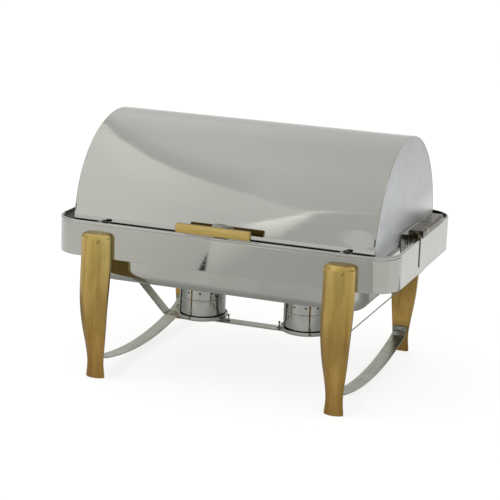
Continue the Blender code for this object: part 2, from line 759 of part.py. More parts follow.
def make_pans():
    """Water pan, the rest frame that closes its top, and the food pan."""
    flange_z = RAIL_SHELF_TOP + GAP
    half_x, half_y = WATER_LENGTH / 2, WATER_DEPTH / 2
    foot_x, foot_y = half_x - WATER_TAPER, half_y - WATER_TAPER
    loops = pan_edge_loops(foot_x, foot_y, WATER_CORNER, WATER_BOTTOM, WATER_EDGE)
    loops.append(rounded_rectangle(half_x, half_y, WATER_CORNER, flange_z))
    flange_corner = WATER_CORNER + WATER_FLANGE_X - half_x
    loops.append(rounded_rectangle(WATER_FLANGE_X, WATER_FLANGE_Y, flange_corner, flange_z))
    loft("water_pan", loops, WATER_SHEET, "stainless", cap_first=True)

    rest_z = flange_z + WATER_SHEET + GAP
    outer_x, outer_y = WATER_FLANGE_X - REST_SHEET, WATER_FLANGE_Y - REST_SHEET
    outer_corner = flange_corner - REST_SHEET
    inner_x, inner_y = REST_OPENING[0] / 2, REST_OPENING[1] / 2
    loops = (
        rounded_rectangle(inner_x, inner_y, FOOD_CORNER, rest_z),
        rounded_rectangle(outer_x, outer_y, outer_corner, rest_z),
        rounded_rectangle(outer_x, outer_y, outer_corner, rest_z + REST_HEM),
    )
    loft("pan_rest_frame", loops, REST_SHEET, "stainless")

    rim_z = rest_z + REST_SHEET + GAP
    half_x, half_y = FOOD_BODY[0] / 2, FOOD_BODY[1] / 2
    foot_x, foot_y = half_x - FOOD_TAPER, half_y - FOOD_TAPER
    loops = pan_edge_loops(foot_x, foot_y, FOOD_CORNER, rim_z - FOOD_DEPTH, FOOD_EDGE)
    loops.append(rounded_rectangle(half_x, half_y, FOOD_CORNER, rim_z))
    rim_x, rim_y = FOOD_RIM[0] / 2, FOOD_RIM[1] / 2
    loops.append(rounded_rectangle(rim_x, rim_y, FOOD_CORNER + rim_x - half_x, rim_z))
    loft("food_pan", loops, FOOD_SHEET, "stainless", cap_first=True)


def make_burner(side, sign_x):
    """A fuel holder that stands on the strap: base dish, cup, and crown with a round mouth."""
    foot_z = STRAP_Z + STRAP_SHEET / 2 + GAP
    base_z = foot_z + BASE_FOOT
    floor_z = base_z + BASE_FLOOR
    inner = BASE_RADIUS - BASE_WALL
    base_profile = (
        (0.0, floor_z), (inner, floor_z), (inner, BASE_RIM_TOP), (BASE_RADIUS, BASE_RIM_TOP),
        (BASE_RADIUS, base_z + BASE_FLOOR), (BASE_RADIUS - BASE_FLOOR, base_z),
        (BASE_FOOT_RADIUS, base_z), (BASE_FOOT_RADIUS - BASE_FLOOR, foot_z), (0.0, foot_z),
    )
    base = turned("burner_base_" + side, base_profile, "stainless", (0.0, 0.0, 0.0))

    cup_z = floor_z + GAP
    inner = CUP_RADIUS - CUP_SHEET
    lip = CUP_RADIUS + CUP_LIP
    lip_foot = CUP_TOP - CUP_LIP_DEPTH
    cup_profile = (
        (0.0, cup_z + CUP_SHEET), (inner, cup_z + CUP_SHEET), (inner, CUP_TOP), (lip, CUP_TOP),
        (lip, lip_foot), (CUP_RADIUS, lip_foot - CUP_LIP), (CUP_RADIUS, cup_z + CUP_SHEET),
        (CUP_RADIUS - CUP_SHEET, cup_z), (0.0, cup_z),
    )
    cup = turned("fuel_cup_" + side, cup_profile, "stainless", (0.0, 0.0, 0.0))

    skirt_z = CUP_TOP + GAP
    under = CROWN_TOP - CROWN_SHEET
    reach = CROWN_SHOULDER - CROWN_SHEET
    crown_profile = [(MOUTH_RADIUS, CROWN_TOP)]
    for k in range(4):
        angle = radians(30 * k)
        radius = CUP_RADIUS - CROWN_SHOULDER * (1 - sin(angle))
        crown_profile.append((radius, CROWN_TOP - CROWN_SHOULDER * (1 - cos(angle))))
    crown_profile += [
        (CUP_RADIUS, skirt_z), (inner, skirt_z), (inner, under - reach),
        (inner - reach, under), (MOUTH_RADIUS, under),
    ]
    crown = turned("fuel_cover_" + side, crown_profile, "stainless", (0.0, 0.0, 0.0))

    bolt_profile = (
        (0.0, DAMPER_SHEET + 0.0022), (DAMPER_BORE, DAMPER_SHEET + 0.0018),
        (0.0046, DAMPER_SHEET + GAP), (DAMPER_BORE - GAP, DAMPER_SHEET + GAP),
        (DAMPER_BORE - GAP, 0.0), (0.0, 0.0),
    )
    bolt_place = (0.0, DAMPER_REACH, CROWN_TOP + GAP)
    bolt = turned("damper_pivot_" + side, bolt_profile, "fastener", bolt_place, steps=16)
    holder = add_pivot("burner_" + side, (sign_x * BURNER_X, 0.0, 0.0))
    for piece in (base, cup, crown, bolt):
        piece.parent = holder
    make_damper(side, sign_x, holder)


def make_damper(side, sign_x, holder):
    """The disc that swings over a fuel holder's mouth, and its knob, at rest swung open."""
    closed = radians(-90)
    pivot = add_pivot("damper_" + side, (0.0, DAMPER_REACH, CROWN_TOP + GAP))
    pivot.rotation_euler = (0.0, 0.0, closed + sign_x * radians(DAMPER_SWING))
    pivot.parent = holder

    disc = arc(DAMPER_RADIUS, DAMPER_SPREAD - pi, pi - DAMPER_SPREAD, 24)
    outline = arc(DAMPER_EYE, radians(90), radians(270), 8)
    outline += [(DAMPER_REACH + u, v) for u, v in disc]
    plate = flat_plate(
        "damper_plate_" + side, (outline, circle(DAMPER_BORE, 16)), DAMPER_SHEET, "brushed_steel"
    )
    plate.location = (0.0, 0.0, DAMPER_SHEET / 2)
    knob_profile = (
        (0.0, 0.0078), (0.0026, 0.0074), (0.0040, 0.0058), (0.0040, 0.0044),
        (0.0022, 0.0028), (0.0022, 0.0), (0.0, 0.0),
    )
    knob_place = (DAMPER_KNOB_REACH, 0.0, DAMPER_SHEET + GAP)
    knob = turned("damper_knob_" + side, knob_profile, "fastener", knob_place, steps=16)
    for piece in (plate, knob):
        piece.parent = pivot


clear_scene()
PART = make_collection("roll_top_chafer")
CUTTERS = make_collection("cutters")

make_apron()
make_legs()
make_stretchers()
make_strap()
make_supports()
make_hinge_spacers()
lid_pivot = add_pivot("lid", (0.0, 0.0, PIVOT_Z))
make_lid(lid_pivot)
make_handle(lid_pivot)
make_bumpers()
make_pans()
for side_name, side_sign in SIDES:
    make_hinge(side_name, side_sign)
    make_burner(side_name, side_sign)
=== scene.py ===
"""Looks of a roll-top chafing dish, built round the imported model: metres, +Z up, -Y is the front."""

from math import copysign, cos, pi, radians, sin, sqrt

import bmesh
import bpy
from mathutils import Matrix, Vector


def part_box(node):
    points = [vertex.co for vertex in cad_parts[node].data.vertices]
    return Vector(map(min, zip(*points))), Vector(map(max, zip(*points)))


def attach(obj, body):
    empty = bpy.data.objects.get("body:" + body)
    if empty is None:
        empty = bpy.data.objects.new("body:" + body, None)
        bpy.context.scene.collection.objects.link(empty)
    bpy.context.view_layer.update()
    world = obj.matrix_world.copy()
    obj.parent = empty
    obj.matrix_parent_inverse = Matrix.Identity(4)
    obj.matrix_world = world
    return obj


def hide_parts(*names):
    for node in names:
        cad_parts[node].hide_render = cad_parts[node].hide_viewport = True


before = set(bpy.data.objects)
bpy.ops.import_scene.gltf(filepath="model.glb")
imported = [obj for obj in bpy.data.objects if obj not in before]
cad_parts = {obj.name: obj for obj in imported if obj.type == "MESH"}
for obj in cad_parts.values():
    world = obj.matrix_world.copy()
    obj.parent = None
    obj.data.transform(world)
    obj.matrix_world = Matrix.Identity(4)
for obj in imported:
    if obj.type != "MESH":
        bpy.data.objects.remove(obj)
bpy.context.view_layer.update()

SIDES = (("left", -1), ("right", 1))
ENDS = (("front", -1), ("rear", 1))

# Shapes that the CAD boxes alone don't give
APRON_CORNER = 0.052
APRON_SHEET = 0.0015
LID_SHEET = 0.0015
LID_EDGE = 0.0022
WATER_CORNER = 0.042
WATER_EDGE = 0.028
WATER_WALL = (0.266, 0.172)
FOOD_CORNER = 0.045
FOOD_EDGE = 0.016
FOOD_WALL = (0.2525, 0.1495)
REST_OPENING = (0.2545, 0.1515)
SADDLE_NARROWER = 0.0135
SADDLE_SHORTER = 0.008
STRAP_FLAT = 0.179                     # half the length of the strap between its lower bends
BRACKET_INNER_END = 0.262
SEAM_GAPS = ((9.3, 13.2), (112.0, 113.0))  # degrees round the lid, from its front edge
LEG_OUTLINE = (
    (0.000, 0.0180), (0.008, 0.0174), (0.020, 0.0161), (0.034, 0.0158), (0.060, 0.0183),
    (0.095, 0.0226), (0.130, 0.0257), (0.165, 0.0277), (0.205, 0.0287), (0.245, 0.0287),
)
LEG_THIN = 0.0115
LEG_THICK = 0.0210
LEG_KNEE_Z = 0.200
LEG_BOW = 0.0085
LEG_BOW_LOW = 0.030
LEG_BOW_HIGH = 0.236
LEG_SHOULDER = 0.010


# ---------------------------------------------------------------- materials

def plug(tree, node, inputs):
    """Set a node's inputs, or link those whose value is another node's output."""
    for socket, value in inputs.items():
        if isinstance(value, bpy.types.NodeSocket):
            tree.links.new(value, node.inputs[socket])
        else:
            node.inputs[socket].default_value = value


def add_node(tree, kind, inputs):
    node = tree.nodes.new("ShaderNode" + kind)
    plug(tree, node, inputs)
    return node


def new_material(name, color, roughness, metallic):
    material = bpy.data.materials.new(name)
    material.use_nodes = True
    tree = material.node_tree
    shader = tree.nodes["Principled BSDF"]
    plug(tree, shader, {"Base Color": (*color, 1.0), "Roughness": roughness, "Metallic": metallic})
    return material, tree, shader


def noise(tree, scale, stretch=(1.0, 1.0, 1.0), detail=3.0, roughness=0.5):
    """Noise that stays with the piece, stretched by a scale along each axis."""
    source = add_node(tree, "TexCoord", {}).outputs["Object"]
    place = add_node(tree, "Mapping", {"Scale": stretch, "Vector": source}).outputs["Vector"]
    inputs = {"Scale": scale, "Detail": detail, "Roughness": roughness, "Vector": place}
    return add_node(tree, "TexNoise", inputs).outputs["Fac"]


def ramp(tree, factor, stops):
    """A colour ramp through (position, colour) stops."""
    node = add_node(tree, "ValToRGB", {"Fac": factor})
    elements = node.color_ramp.elements
    while len(elements) < len(stops):
        elements.new(0.5)
    for element, (position, color) in zip(elements, stops):
        element.position = position
        element.color = (*color, 1.0)
    return node.outputs["Color"]


def spread(tree, factor, low, high):
    """Map a noise's middle range onto low..high."""
    inputs = {"From Min": 0.3, "From Max": 0.7, "To Min": low, "To Max": high, "Value": factor}
    return add_node(tree, "MapRange", inputs).outputs["Result"]


def bump(tree, shader, height, distance, under=None):
    inputs = {"Distance": distance, "Strength": 1.0, "Height": height}
    if under is not None:
        inputs["Normal"] = under
    normal = add_node(tree, "Bump", inputs).outputs["Normal"]
    plug(tree, shader, {"Normal": normal})
    return normal


def tinted(base, share):
    return tuple(share * value for value in base)


def shade_along(tree, color, axis, stops):
    """Multiply a colour by a ramp that runs along one axis of the piece's own coordinates."""
    low, high = stops[0][0], stops[-1][0]
    source = add_node(tree, "TexCoord", {}).outputs["Object"]
    along = add_node(tree, "SeparateXYZ", {"Vector": source}).outputs[axis]
    span = add_node(tree, "MapRange", {"From Min": low, "From Max": high, "Value": along})
    shares = [((at - low) / (high - low), tint) for at, tint in stops]
    tints = ramp(tree, span.outputs["Result"], shares)
    mix = tree.nodes.new("ShaderNodeMix")
    mix.data_type = "RGBA"
    mix.blend_type = "MULTIPLY"
    plug(tree, mix, {"Factor": 1.0, "A": color, "B": tints})
    return mix.outputs["Result"]


def polished_steel(name, tone=1.0, haze=0.0, grain=(1.0, 1.0, 1.0), wave=0.00022):
    """Mirror-polished sheet: faint waves from pressing, hairline polishing marks and hazy patches."""
    base = (0.425 * tone, 0.425 * tone, 0.398 * tone)
    material, tree, shader = new_material(name, base, 0.05, 1.0)
    patches = noise(tree, 9.0, grain, detail=3.0)
    hairlines = noise(tree, 240.0, grain, detail=2.0)
    plug(tree, shader, {
        "Base Color": ramp(tree, patches, ((0.35, tinted(base, 0.965)), (0.65, tinted(base, 1.035)))),
        "Roughness": spread(tree, hairlines, 0.025 + haze, 0.060 + haze),
    })
    under = bump(tree, shader, noise(tree, 6.0, detail=1.0), wave)
    bump(tree, shader, hairlines, 0.000003, under)
    return material


def satin_steel(name, stretch):
    """Flat bar with the long grain of the rolling mill."""
    base = (0.325, 0.330, 0.275)
    material, tree, shader = new_material(name, base, 0.30, 1.0)
    grain = noise(tree, 160.0, stretch, detail=4.0, roughness=0.6)
    plug(tree, shader, {
        "Base Color": ramp(tree, grain, ((0.30, tinted(base, 0.80)), (0.70, tinted(base, 1.16)))),
        "Roughness": spread(tree, noise(tree, 22.0), 0.25, 0.38),
    })
    bump(tree, shader, grain, 0.00006)
    return material


def brass(name, stretch, axis, stops):
    """Lacquered polished brass with the long streaks of the buffing wheel, its colour multiplied by
    painted shade and reflection along one axis through the given stops.
    """
    material, tree, shader = new_material(name, (0.50, 0.36, 0.12), 0.2, 1.0)
    streaks = noise(tree, 52.0, stretch, detail=5.0, roughness=0.66)
    tones = ramp(tree, streaks, (
        (0.26, (0.300, 0.195, 0.048)), (0.44, (0.430, 0.312, 0.094)),
        (0.58, (0.500, 0.378, 0.128)), (0.76, (0.620, 0.490, 0.200)),
    ))
    plug(tree, shader, {
        "Base Color": shade_along(tree, tones, axis, stops),
        "Roughness": spread(tree, noise(tree, 30.0, detail=5.0), 0.16, 0.34),
        "Coat Weight": 0.20,
        "Coat Roughness": 0.12,
    })
    under = bump(tree, shader, noise(tree, 11.0, stretch, detail=2.0), 0.0012)
    bump(tree, shader, streaks, 0.00014, under)
    return material


def soft_steel(name, axis, painted_shading):
    """Pressed sheet with the pearly, half-dull bloom of pickling, its colour multiplied by painted light
    and shade along one axis.
    """
    material, tree, shader = new_material(name, (0.50, 0.51, 0.515), 0.34, 0.30)
    streaks = noise(tree, 9.0, (1.0, 1.0, 0.12), detail=2.0)
    tones = ramp(tree, streaks, (
        (0.34, (0.470, 0.475, 0.462)), (0.52, (0.500, 0.508, 0.508)), (0.68, (0.515, 0.532, 0.552)),
    ))
    bloom = noise(tree, 120.0, (1.0, 1.0, 0.2))
    plug(tree, shader, {
        "Base Color": shade_along(tree, tones, axis, [(at, (v, v, v)) for at, v in painted_shading]),
        "Roughness": spread(tree, bloom, 0.30, 0.42),
    })
    bump(tree, shader, streaks, 0.0002)
    return material


def reflection_banded_steel(name):
    """The hinge saddles: dark steel with bands of painted reflection across it, near black, dark brown,
    olive and a light stripe.
    """
    material, tree, shader = new_material(name, (0.12, 0.10, 0.07), 0.2, 1.0)
    reflection_bands = noise(tree, 62.0, (0.4, 1.0, 0.3), detail=2.5)
    plug(tree, shader, {
        "Base Color": ramp(tree, reflection_bands, (
            (0.34, (0.008, 0.007, 0.006)), (0.45, (0.045, 0.034, 0.021)), (0.52, (0.120, 0.098, 0.058)),
            (0.57, (0.030, 0.024, 0.018)), (0.66, (0.260, 0.236, 0.180)),
        )),
        "Roughness": spread(tree, noise(tree, 60.0), 0.12, 0.30),
    })
    bump(tree, shader, reflection_bands, 0.0008)
    return material


def machined_steel(name):
    """Turned or cold-headed fasteners: bright, slightly dulled in patches."""
    base = (0.47, 0.47, 0.46)
    material, tree, shader = new_material(name, base, 0.22, 1.0)
    patches = noise(tree, 190.0)
    plug(tree, shader, {
        "Base Color": ramp(tree, patches, ((0.32, tinted(base, 0.72)), (0.66, base))),
        "Roughness": spread(tree, patches, 0.16, 0.34),
    })
    bump(tree, shader, patches, 0.00004)
    return material


def black_rubber(name):
    material, tree, shader = new_material(name, (0.012, 0.012, 0.012), 0.6, 0.0)
    pores = noise(tree, 900.0)
    stops = ((0.40, (0.008, 0.008, 0.008)), (0.72, (0.030, 0.030, 0.029)))
    plug(tree, shader, {
        "Base Color": ramp(tree, noise(tree, 160.0), stops),
        "Roughness": spread(tree, pores, 0.50, 0.78),
    })
    bump(tree, shader, pores, 0.00012)
    return material


def painted_shade_filler(name):
    """Painted shade: a dark filler that stands for the shaded inside of a recess, a vent or a seam gap.
    """
    material, tree, shader = new_material(name, (0.015, 0.014, 0.013), 0.7, 0.3)
    shade_mottle = noise(tree, 500.0)
    stops = ((0.35, (0.006, 0.006, 0.006)), (0.70, (0.028, 0.025, 0.022)))
    plug(tree, shader, {"Base Color": ramp(tree, shade_mottle, stops)})
    bump(tree, shader, shade_mottle, 0.0001)
    return material


LENGTHWISE = (0.04, 1.0, 1.0)
LID_STEEL = polished_steel("lid_polish", haze=-0.013, grain=LENGTHWISE, wave=0.00010)
# Painted light and shade up the end plate: a painted shadow on the hem in the dark gap, painted light on
# the lower plate that the apron shades, darker towards the top.
END_STEEL = soft_steel("lid_end_soft", "Z", (
    (0.261, 0.10), (0.268, 0.10), (0.272, 2.00), (0.30, 1.60), (0.34, 1.00), (0.47, 0.73),
))
BAND_STEEL = polished_steel("band_polish", tone=0.97, grain=LENGTHWISE)
PAN_STEEL = polished_steel("pan_polish", tone=1.02, haze=0.03)
BURNER_STEEL = polished_steel("burner_polish", grain=(1.0, 1.0, 0.05))
INNER_STEEL = polished_steel("food_pan_steel", tone=1.55, haze=0.17, wave=0.00010)
# Painted shade: the apron's inside is darkened to stand for the shade in the gap round the lid.
HAZY_SHADED_INSIDE = polished_steel("hazy_inside_painted_shade", tone=0.30, haze=0.16)
BAR_STEEL = satin_steel("bar_satin_along_x", (0.03, 1.0, 1.0))
CROSS_STEEL = satin_steel("bar_satin_along_y", (1.0, 0.03, 1.0))
# Painted shade and reflection up the leg: the brass darker and warmer towards the foot, lightest at the
# shoulder.
LEG_BRASS = brass("leg_brass", (1.0, 1.0, 0.05), "Z", (
    (0.0, (0.80, 0.61, 0.47)), (0.035, (0.80, 0.62, 0.48)), (0.07, (0.89, 0.73, 0.59)),
    (0.12, (0.75, 0.64, 0.54)), (0.20, (0.82, 0.77, 0.69)), (0.275, (1.06, 1.04, 1.00)),
))
# Painted shade: the brass bar darkens towards its back, the side that faces the lid.
HANDLE_BRASS = brass("handle_brass", (0.06, 1.0, 1.0), "Y", (
    (-0.229, (0.95, 0.93, 0.90)), (-0.224, (0.80, 0.76, 0.72)),
    (-0.219, (0.48, 0.40, 0.31)), (-0.212, (0.38, 0.30, 0.22)),
))
# Hinge saddles in dark steel banded with painted reflection.
HINGE_STEEL = reflection_banded_steel("hinge_painted_reflection")
SCREW_STEEL = machined_steel("screw_steel")
RUBBER = black_rubber("bumper_rubber")
SHADE_FILLER = painted_shade_filler("vent_painted_shade")


# ---------------------------------------------------------------- mesh helpers

SHARP_FOLD = 32.0                      # degrees; a sharper fold keeps a crisp edge
FACE_WEIGHT = 80                       # how far large faces keep smooth shading flat


def new_object(name, bm, material):
    """A linked object made from a bmesh, which it uses up."""
    mesh = bpy.data.meshes.new(name)
    bm.to_mesh(mesh)
    bm.free()
    mesh.materials.append(material)
    obj = bpy.data.objects.new(name, mesh)
    bpy.context.scene.collection.objects.link(obj)
    return obj


def settle(obj):
    """Apply what is on an object to its mesh, and shade it smooth with crisp folds."""
    graph = bpy.context.evaluated_depsgraph_get()
    mesh = bpy.data.meshes.new_from_object(obj.evaluated_get(graph))
    obj.modifiers.clear()
    obj.data = mesh
    mesh.shade_smooth()
    mesh.set_sharp_from_angle(angle=radians(SHARP_FOLD))
    weighted = obj.modifiers.new("weighted", "WEIGHTED_NORMAL")
    weighted.keep_sharp = True
    weighted.weight = FACE_WEIGHT
    graph = bpy.context.evaluated_depsgraph_get()
    obj.data = bpy.data.meshes.new_from_object(obj.evaluated_get(graph))
    obj.modifiers.clear()
    return obj


def enrol(obj, body, nodes=()):
    """Settle a piece, ride it on its body and the nodes it stands for."""
    settle(obj)
    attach(obj, body)
    if nodes:
        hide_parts(*nodes)
    return obj


def piece(name, bm, material, body, nodes=()):
    """A new visible piece from a bmesh."""
    bmesh.ops.recalc_face_normals(bm, faces=bm.faces)
    return enrol(new_object(name, bm, material), body, nodes)


def strip_of_quads(bm, low, high):
    """Join two rings of as many vertices."""
    for k in range(len(low)):
        nxt = (k + 1) % len(low)
        bm.faces.new((low[k], low[nxt], high[nxt], high[k]))


def add_loops(bm, loops, ring=False, cap_first=False, cap_last=False):
    """Skin closed loops; ring joins the last back to the first. Returns the vertices of each."""
    rings = [[bm.verts.new(point) for point in loop] for loop in loops]
    for low, high in zip(rings, rings[1:]):
        strip_of_quads(bm, low, high)
    if ring:
        strip_of_quads(bm, rings[-1], rings[0])
    if cap_first:
        bm.faces.new(list(reversed(rings[0])))
    if cap_last:
        bm.faces.new(rings[-1])
    return rings


def rounded_rectangle(half_x, half_y, radius, z, steps=14, centre=(0.0, 0.0)):
    """Points round a rectangle with arcs at its corners, at one height."""
    points = []
    for sign_x, sign_y, start in ((1, 1, 0), (-1, 1, 90), (-1, -1, 180), (1, -1, 270)):
        for k in range(steps + 1):
            angle = radians(start + 90 * k / steps)
            x = centre[0] + sign_x * (half_x - radius) + radius * cos(angle)
            y = centre[1] + sign_y * (half_y - radius) + radius * sin(angle)
            points.append(Vector((x, y, z)))
    return points


def base_centre(low, high):
    """The middle of a box's underside."""
    return (low.x + high.x) / 2, (low.y + high.y) / 2, low.z


def arc(centre, radius, start, end, steps):
    """Points (u, v) on an arc between two angles in degrees."""
    points = []
    for k in range(steps + 1):
        angle = radians(start + (end - start) * k / steps)
        points.append((centre[0] + radius * cos(angle), centre[1] + radius * sin(angle)))
    return points


def add_turned(bm, profile, place, axis=(0, 0, 1), steps=48):
    """Turn a closed (radius, height) profile about an axis; a radius of 0 is a pole."""
    turn = Vector((0, 0, 1)).rotation_difference(Vector(axis)).to_matrix().to_4x4()
    matrix = Matrix.Translation(Vector(place)) @ turn
    rows = []
    for radius, height in profile:
        if radius <= 0.0:
            pole = bm.verts.new(matrix @ Vector((0.0, 0.0, height)))
            rows.append([pole] * steps)
            continue
        turns = [2 * pi * k / steps for k in range(steps)]
        points = [Vector((radius * cos(angle), radius * sin(angle), height)) for angle in turns]
        rows.append([bm.verts.new(matrix @ point) for point in points])
    for low, high in zip(rows, rows[1:]):
        for k in range(steps):
            nxt = (k + 1) % steps
            corners = list(dict.fromkeys((low[k], low[nxt], high[nxt], high[k])))
            if len(corners) > 2:
                bm.faces.new(corners)
    if profile[0][0] > 0.0 and profile[0] != profile[-1]:
        strip_of_quads(bm, rows[-1], rows[0])


def skinned_piece(name, loops, material, body, nodes=(), ring=False):
    """A solid through closed loops: capped at both ends, or joined round into a ring."""
    bm = bmesh.new()
    add_loops(bm, loops, ring=ring, cap_first=not ring, cap_last=not ring)
    return piece(name, bm, material, body, nodes)


def turned_piece(name, profile, place, material, body, nodes=(), axis=(0, 0, 1), steps=48):
    bm = bmesh.new()
    add_turned(bm, profile, place, axis, steps)
    bmesh.ops.remove_doubles(bm, verts=bm.verts, dist=1e-6)
    return piece(name, bm, material, body, nodes)


def dome_head(radius, height, dimple=0.0):
    """Section of a domed head that stands on z = 0, with an optional drive recess."""
    points = [(0.0, height - dimple)]
    if dimple:
        points += [(0.34 * radius, height - dimple), (0.38 * radius, 0.97 * height)]
    for k in range(7):
        angle = radians(72 - 12 * k)
        points.append((radius * cos(angle), 0.35 * height + 0.65 * height * sin(angle)))
    points += [(radius, 0.0), (0.0, 0.0)]
    return points


def sweep(name, path, outline, axis, material, body, nodes=()):
    """Draw a flat section along a bent path in the XZ or YZ plane.

    path holds (along, z) points, outline holds (across, out-of-face) points of the bar's section.
    """
    loops = []
    count = len(path)
    for i in range(count):
        before = Vector(path[max(i - 1, 0)])
        after = Vector(path[min(i + 1, count - 1)])
        tangent = (after - before).normalized()
        normal = Vector((-tangent.y, tangent.x))
        here = Vector(path[i])
        stretch = 1.0
        if 0 < i < count - 1:
            stretch /= max((here - before).normalized().dot(tangent), 0.5)
        loop = []
        for across, out in outline:
            spot = here + normal * out * stretch
            if axis == "X":
                loop.append(Vector((spot.x, across, spot.y)))
            else:
                loop.append(Vector((across, spot.x, spot.y)))
        loops.append(loop)
    return skinned_piece(name, loops, material, body, nodes)


def bar_outline(low, high, thickness, edge):
    """A flat bar's section with rounded long edges."""
    half = thickness / 2
    points = []
    for centre_x, centre_y, start in (
        (high - edge, half - edge, 0), (low + edge, half - edge, 90),
        (low + edge, -half + edge, 180), (high - edge, -half + edge, 270),
    ):
        points += arc((centre_x, centre_y), edge, start, start + 90, 3)
    return points


def round_corners(path, radius, steps=10):
    """Round the inner corners of an open path of (u, v) points."""
    rounded = [tuple(path[0])]
    for before, corner, after in zip(path, path[1:], path[2:]):
        before, corner, after = Vector(before), Vector(corner), Vector(after)
        to_before = (before - corner).normalized()
        to_after = (after - corner).normalized()
        half_angle = to_before.angle(to_after) / 2
        reach = radius * cos(half_angle) / sin(half_angle)
        centre = corner + (to_before + to_after).normalized() * radius / sin(half_angle)
        first = corner + to_before * reach - centre
        last = corner + to_after * reach - centre
        sweep_angle = first.angle(last)
        for k in range(steps + 1):
            share = k / steps
            spot = first * sin((1 - share) * sweep_angle) + last * sin(share * sweep_angle)
            rounded.append(tuple(centre + spot / sin(sweep_angle)))
    rounded.append(tuple(path[-1]))
    return rounded


def round_block(name, low, high, edge, material, body, nodes=(), segments=4):
    """A block between two corners with rounded edges."""
    low, high = Vector(low), Vector(high)
    bm = bmesh.new()
    matrix = Matrix.Translation((high + low) / 2) @ Matrix.Diagonal((*(high - low), 1.0))
    bmesh.ops.create_cube(bm, size=1.0, matrix=matrix)
    bmesh.ops.bevel(
        bm, geom=list(bm.edges), offset=edge, segments=segments, profile=0.5, affect="EDGES",
    )
    return piece(name, bm, material, body, nodes)


# ---------------------------------------------------------------- the stand

def make_apron():
    """The band with a rolled top lip, a bead under it and a hemmed bottom edge."""
    low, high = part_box("apron_frame")
    half_x, half_y = high.x, high.y
    roll = 0.0030
    hem = 0.0013
    fold = high.z - 0.0068
    lip_end = 0.0038
    section = [                        # (inset, z) round the sheet, up the outside first
        (hem, low.z), (0.35 * hem, low.z + 0.3 * hem), (0.0, low.z + hem),
        (0.0, fold - 0.0012), (0.0005, fold - 0.0004), (0.0005, fold + 0.0002), (0.0, fold + 0.0010),
    ]
    section += arc((roll, high.z - roll), roll, 180, 90, 8)
    section += arc((lip_end - 0.0010, high.z - 0.0010), 0.0010, 90, 0, 4)
    inside = len(section)
    section += [
        (lip_end, high.z - 0.0034), (APRON_SHEET, high.z - 0.0040), (APRON_SHEET, low.z + 0.002),
        (2.2 * APRON_SHEET, low.z + 0.0012), (2.0 * APRON_SHEET, low.z),
    ]
    loops = [
        rounded_rectangle(half_x - inset, half_y - inset, APRON_CORNER - inset, z, 20)
        for inset, z in section
    ]
    band = skinned_piece(
        "apron_band", loops, BAND_STEEL, "stand", ("apron_frame",), ring=True,
    )
    # The inside faces of the band take the dark inside steel, painted shade in the gap.
    band.data.materials.append(HAZY_SHADED_INSIDE)
    per_loop = len(loops[0])
    for index, polygon in enumerate(band.data.polygons):
        if inside <= index // per_loop < len(section) - 1:
            polygon.material_index = 1
    for side, _ in SIDES:
        bumper_low, bumper_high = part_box("lid_bumper_" + side)
        rivet_low, rivet_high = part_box("bumper_rivet_" + side)
        tab_low = (min(bumper_low.x, rivet_low.x) - 0.003, -half_y + 0.003, high.z - 0.0017)
        tab_high = (max(bumper_high.x, rivet_high.x) + 0.003, bumper_high.y + 0.0008, high.z - 0.0002)
        round_block(
            "bumper_tab_" + side, tab_low, tab_high, 0.0005, BAND_STEEL, "stand",
        )


def smooth_step(share):
    share = min(max(share, 0.0), 1.0)
    return share * share * (3 - 2 * share)


def leg_half_width(z):
    """The leg's outline as a smooth curve through its heights and half widths."""
    knots = LEG_OUTLINE
    if z >= knots[-1][0]:
        return knots[-1][1]
    index = max(k for k in range(len(knots) - 1) if knots[k][0] <= z)
    (z0, w0), (z1, w1) = knots[index], knots[index + 1]

    def slope(k):
        k0, k1 = max(k - 1, 0), min(k + 1, len(knots) - 1)
        return (knots[k1][1] - knots[k0][1]) / (knots[k1][0] - knots[k0][0])

    span = z1 - z0
    t = (z - z0) / span
    rise0 = (2 * t ** 3 - 3 * t ** 2 + 1) * w0 + (t ** 3 - 2 * t ** 2 + t) * span * slope(index)
    rise1 = (-2 * t ** 3 + 3 * t ** 2) * w1 + (t ** 3 - t ** 2) * span * slope(index + 1)
    return rise0 + rise1


def leg_section(z, half_width, thickness):
    """A D-shaped section: flat back with eased corners, crowned front towards -Y."""
    share = min(max((z - LEG_BOW_LOW) / (LEG_BOW_HIGH - LEG_BOW_LOW), 0.0), 1.0)
    back = -LEG_BOW * sin(pi * share) ** 2
    side = 0.45 * thickness
    ease = 0.0022
    points = [
        (half_width, back - ease), (half_width - 0.3 * ease, back - 0.3 * ease),
        (half_width - ease, back), (-half_width + ease, back),
        (-half_width + 0.3 * ease, back - 0.3 * ease), (-half_width, back - ease),
    ]
    front_steps = 28
    for k in range(front_steps + 1):
        lean = -1.0 + 2.0 * k / front_steps
        across = sin(lean * pi / 2)
        crown = 1.0 - abs(across) ** 2.4
        points.append((half_width * across, back - side - (thickness - side) * crown))
    return [Vector((x, y, z)) for x, y in points]


def make_leg(end, side, sign_y):
    """A cast leg: eased foot, long swelling body and a rounded shoulder."""
    node = f"leg_{end}_{side}"
    low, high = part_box(node)
    centre_x = (low.x + high.x) / 2
    back_y = low.y if sign_y > 0 else high.y
    top = high.z
    shoulder_z = top - LEG_SHOULDER
    foot_ease = 0.0012
    sections = [(0.0, leg_half_width(0.0) - foot_ease, LEG_THIN - foot_ease)]
    steps = 46
    for k in range(steps):
        z = foot_ease + (shoulder_z - foot_ease) * k / (steps - 1)
        thickness = LEG_THIN + (LEG_THICK - LEG_THIN) * smooth_step(z / LEG_KNEE_Z)
        sections.append((z, leg_half_width(z), thickness))
    full = leg_half_width(shoulder_z)
    for narrowing, z in arc((LEG_SHOULDER, shoulder_z), LEG_SHOULDER, 180, 90, 10)[1:]:
        sections.append((z, full - 0.85 * narrowing, LEG_THICK - 1.25 * narrowing))
    turn = Matrix.Rotation(pi if sign_y > 0 else 0.0, 4, "Z")
    place = Matrix.Translation((centre_x, back_y, 0.0)) @ turn
    loops = [[place @ point for point in leg_section(*section)] for section in sections]
    skinned_piece("brass_" + node, loops, LEG_BRASS, "stand", (node,))


